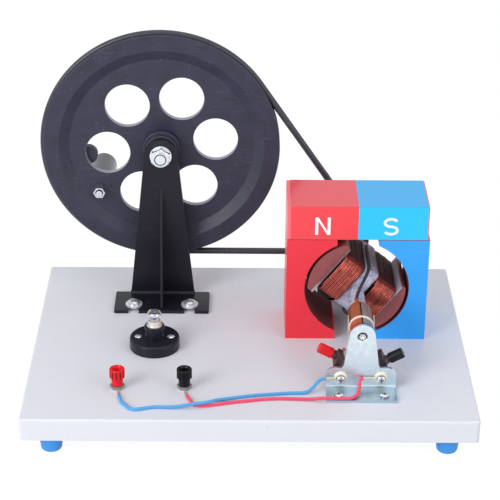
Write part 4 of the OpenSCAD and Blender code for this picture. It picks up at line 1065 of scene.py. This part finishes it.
class GENERATOR_OT_metals(bpy.types.Operator):
    """Zinc sheet, plated steel, dark chrome, copper and bronze, and the painted core"""

    bl_idname = "generator.metals"
    bl_label = "Metals"

    # Bright plate, the whiter plate of the crank and the axle, and steel: clean, dull and roughness.
    BRIGHT = (214, 217, 222), (150, 154, 160), 0.24
    WHITE = (238, 242, 248), (192, 196, 202), 0.2
    STEEL = (214, 217, 221), (168, 172, 178), 0.24
    # Screws on the front bracket: half their spacing, their middle on the second axis of their heads'
    # face, the heads' radius and that axis.
    HEADS = (("front_bracket_screws", 0.0162, -0.085, 0.0034, 1),
             ("terminal_screws", 0.0144, 0.0092, 0.0032, 2))

    def execute(self, context):
        self.screws_and_steel()
        plate("crank_grip", "dark_chrome", (98, 97, 106), (72, 71, 80), 0.14)
        plate("post_studs", "post_plate", (40, 32, 34), (24, 20, 22), 0.3, metal=0.5, recolour=post_ends)
        # The bracket's foot, up to 2.2 mm over the board and fading out by 3.4 mm, is painted darker as
        # shade.
        plate("front_bracket", "zinc_sheet", (228, 240, 246), (210, 225, 234), 0.34,
              lines=(0.0009, (1, 1, 0.2)), cloud=(0.01, 0.4), spangle=0.0035,
              recolour=partial(level_band, low=0.0022, high=0.0034, colour=(188, 206, 218)))
        plate("stand_washers", "washer_plate", (228, 228, 232), (190, 192, 198), 0.34, metal=0.45)
        plate("brush_studs", "brush_steel", (150, 138, 140), (104, 94, 96), 0.25)
        plate("lead_lugs", "tinned_lug", (236, 233, 226), (204, 198, 186), 0.35, metal=0.4)
        plate("brush_strips", "spring_strip", (250, 248, 240), (226, 220, 200), 0.3,
              lines=(0.0004, (1, 1, 0.05)), metal=0.5)
        plate("hub_bushes", "bearing_bronze", (200, 158, 96), (150, 112, 66), 0.3)
        worn = {"lines": (0.0007, (0.05, 1, 0.05)), "dent": 0.00003, "metal": 0.5}
        plate("segment_a", "worked_copper", (200, 130, 92), (144, 86, 60), 0.22, **worn)
        plate("segment_b", "burnt_copper", (194, 166, 154), (148, 120, 108), 0.22, **worn)
        paint("armature_core", "core_primer", (146, 76, 78), (176, 112, 112), 0.5, cloud=(0.01, 0.4, 0.12),
              skin=(0.001, 0.00008), scuffs=(0.012, 0.35), edge=(0.0005, 0.4))
        return {"FINISHED"}

    def screws_and_steel(self):
        """Screws, nuts and turned steel, with painted shade in the rings and recesses of those that face
        forward.
        """
        bright, white, steel = self.BRIGHT, self.WHITE, self.STEEL
        plate("stand_screws lamp_screws", "bright_plate", *bright, metal=0.75)
        for node, half, middle, radius, axis in self.HEADS:
            middle += float(BOARD[axis])
            # The heads get painted shade in their cross recess and round their rim.
            heads = partial(head_shade, half=half, middle=middle, radius=radius, axis=axis)
            plate(node, node + "_plate", *bright, metal=0.75, recolour=heads)
        pin_x, pin_z = WHEEL_X + CRANK * math.cos(CRANK_TURN), WHEEL_Z + CRANK * math.sin(CRANK_TURN)
        for nodes, name, look, x, z, inner, outer, behind in (
                ("crank_nut crank_pin", "crank_plate", white, pin_x, pin_z, 0.0024, 0.003,
                 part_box("crank_nut")[1].y),
                ("axle_bolt axle_nut", "axle_plate", white, WHEEL_X, WHEEL_Z, 0.0038, 0.0046,
                 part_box("axle_bolt")[0].y + 0.0005),
                ("armature_shaft", "shaft_steel", steel, ARM_X, ARM_Z, 0.0023, 0.0031,
                 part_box("armature_shaft")[0].y + 0.0008)):
            # A ring of painted shade on each front end.
            ring = partial(painted_shade_ring, x=x, z=z, inner=inner, outer=outer, behind=behind)
            plate(nodes, name, *look, recolour=ring)
        plate("foot_screws axle_washer magnet_screws drive_pulley pulley_screw", "plated_steel", *steel)
        plate("rear_bracket_screws", "black_screw", (52, 46, 48), (34, 30, 32), 0.4)


class GENERATOR_OT_mouldings(bpy.types.Operator):
    """Mouldings of the lamp holder, caps, plates and washers"""

    bl_idname = "generator.mouldings"
    bl_label = "Mouldings"

    # Caps: the side of the lamp their post stands on, their name, colour, worn colour and the painted shade
    # of their flutes.
    CAPS = ((-1, "red", (224, 30, 40), (240, 90, 92), (150, 16, 22)),
            (1, "black", (14, 14, 20), (70, 70, 82), (4, 4, 6)))

    def execute(self, context):
        paint("lamp_holder", "lamp_moulding", (27, 27, 39), (66, 66, 76), 0.3, cloud=(0.01, 0.3, 0.1),
              scuffs=(0.012, 0.3), edge=(0.0004, 0.3), shine=0.25)
        looks = {"cloud": (0.006, 0.25, 0.08), "scuffs": (0.006, 0.28), "edge": (0.0003, 0.3), "shine": 0.22}
        for side, name, colour, worn, flute_shade_colour in self.CAPS:
            paint("thumb_cap_" + name, name + "_moulding", colour, worn, 0.28, **looks)
            post = float(LAMP[0]) + side * POST_X
            flutes = partial(flute_shade, x=post, y=POST_Y, radius=CAP, colour=flute_shade_colour)
            paint("post_cap_" + name, name + "_fluted", colour, worn, 0.28, recolour=flutes, **looks)
        paint("brush_plates commutator_sleeve", "brown_plate", (66, 40, 36), (120, 86, 76), 0.4,
              cloud=(0.004, 0.5, 0.25), skin=(0.0006, 0.00006), scuffs=(0.006, 0.3))
        paint("insulating_washers", "cream_fibre", (240, 236, 206), (250, 248, 232), 0.55,
              cloud=(0.003, 0.4, 0.08), scuffs=(0.004, 0.3))
        paint("commutator_ring", "white_ring", (240, 240, 236), (210, 208, 200), 0.4,
              cloud=(0.003, 0.3, 0.05), scuffs=(0.004, 0.3))
        return {"FINISHED"}


class GENERATOR_OT_lamp(bpy.types.Operator):
    """Clear bulb, its metal cap and the holder's shell"""

    bl_idname = "generator.lamp"
    bl_label = "Lamp"

    def execute(self, context):
        glass, inputs, at = finish("clear_glass", {"Base Color": (1, 1, 1, 1), "Transmission Weight": 1.0,
                                                   "IOR": 1.45, "Metallic": 0.0})
        tone = effect(at, "Cloudy tone", Size=0.004, Contrast=0.3)
        uneven = bump(effect(at, "Coat skin", Size=0.004), 0.00001)
        feed(inputs, {"Roughness": spread(tone, 0.0, 1.0, 0.0, 0.03), "Normal": uneven})
        dress(glass, "bulb_glass")
        plate("bulb_cap lamp_shell", "lamp_nickel", (238, 235, 230), (204, 198, 190), 0.32, metal=0.4)
        paint("bulb_mount", "bead_glass", (70, 62, 190), (140, 140, 220), 0.2, cloud=(0.001, 0.3, 0.1),
              scuffs=(0.003, 0.2), recolour=bead_middle)
        return {"FINISHED"}


STEPS = ("stage", "leads", "coils", "sleeves", "wrap", "belt", "marks", "filament", "board", "wheel",
         "magnet", "metals", "mouldings", "lamp")


class GENERATOR_PT_looks(bpy.types.Panel):
    """Sizes, colours and the steps that make the looks"""

    bl_idname = "GENERATOR_PT_looks"
    bl_label = "Generator"
    bl_space_type = "VIEW_3D"
    bl_region_type = "UI"
    bl_category = "Generator"

    def draw(self, context):
        for group in (context.scene.generator_sizes, context.scene.generator_colours):
            box = self.layout.box()
            for key in group.bl_rna.properties.keys():
                if key not in ("rna_type", "name"):
                    box.prop(group, key)
        for step in STEPS:
            self.layout.operator("generator." + step)


CLASSES = (GeneratorSizes, GeneratorColours, GENERATOR_OT_stage, GENERATOR_OT_leads, GENERATOR_OT_coils,
           GENERATOR_OT_sleeves, GENERATOR_OT_wrap, GENERATOR_OT_belt, GENERATOR_OT_marks,
           GENERATOR_OT_filament, GENERATOR_OT_board, GENERATOR_OT_wheel, GENERATOR_OT_magnet,
           GENERATOR_OT_metals, GENERATOR_OT_mouldings, GENERATOR_OT_lamp, GENERATOR_PT_looks)


def register():
    """Adds the classes and the scene's two groups of values."""
    for c in CLASSES:
        bpy.utils.register_class(c)
    bpy.types.Scene.generator_sizes = PointerProperty(type=GeneratorSizes)
    bpy.types.Scene.generator_colours = PointerProperty(type=GeneratorColours)


def unregister():
    """Takes them away again."""
    del bpy.types.Scene.generator_colours
    del bpy.types.Scene.generator_sizes
    for c in reversed(CLASSES):
        bpy.utils.unregister_class(c)


def main():
    """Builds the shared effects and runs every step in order."""
    register()
    build_effects()
    for step in STEPS:
        getattr(bpy.ops.generator, step)()


if __name__ == "__main__":
    main()
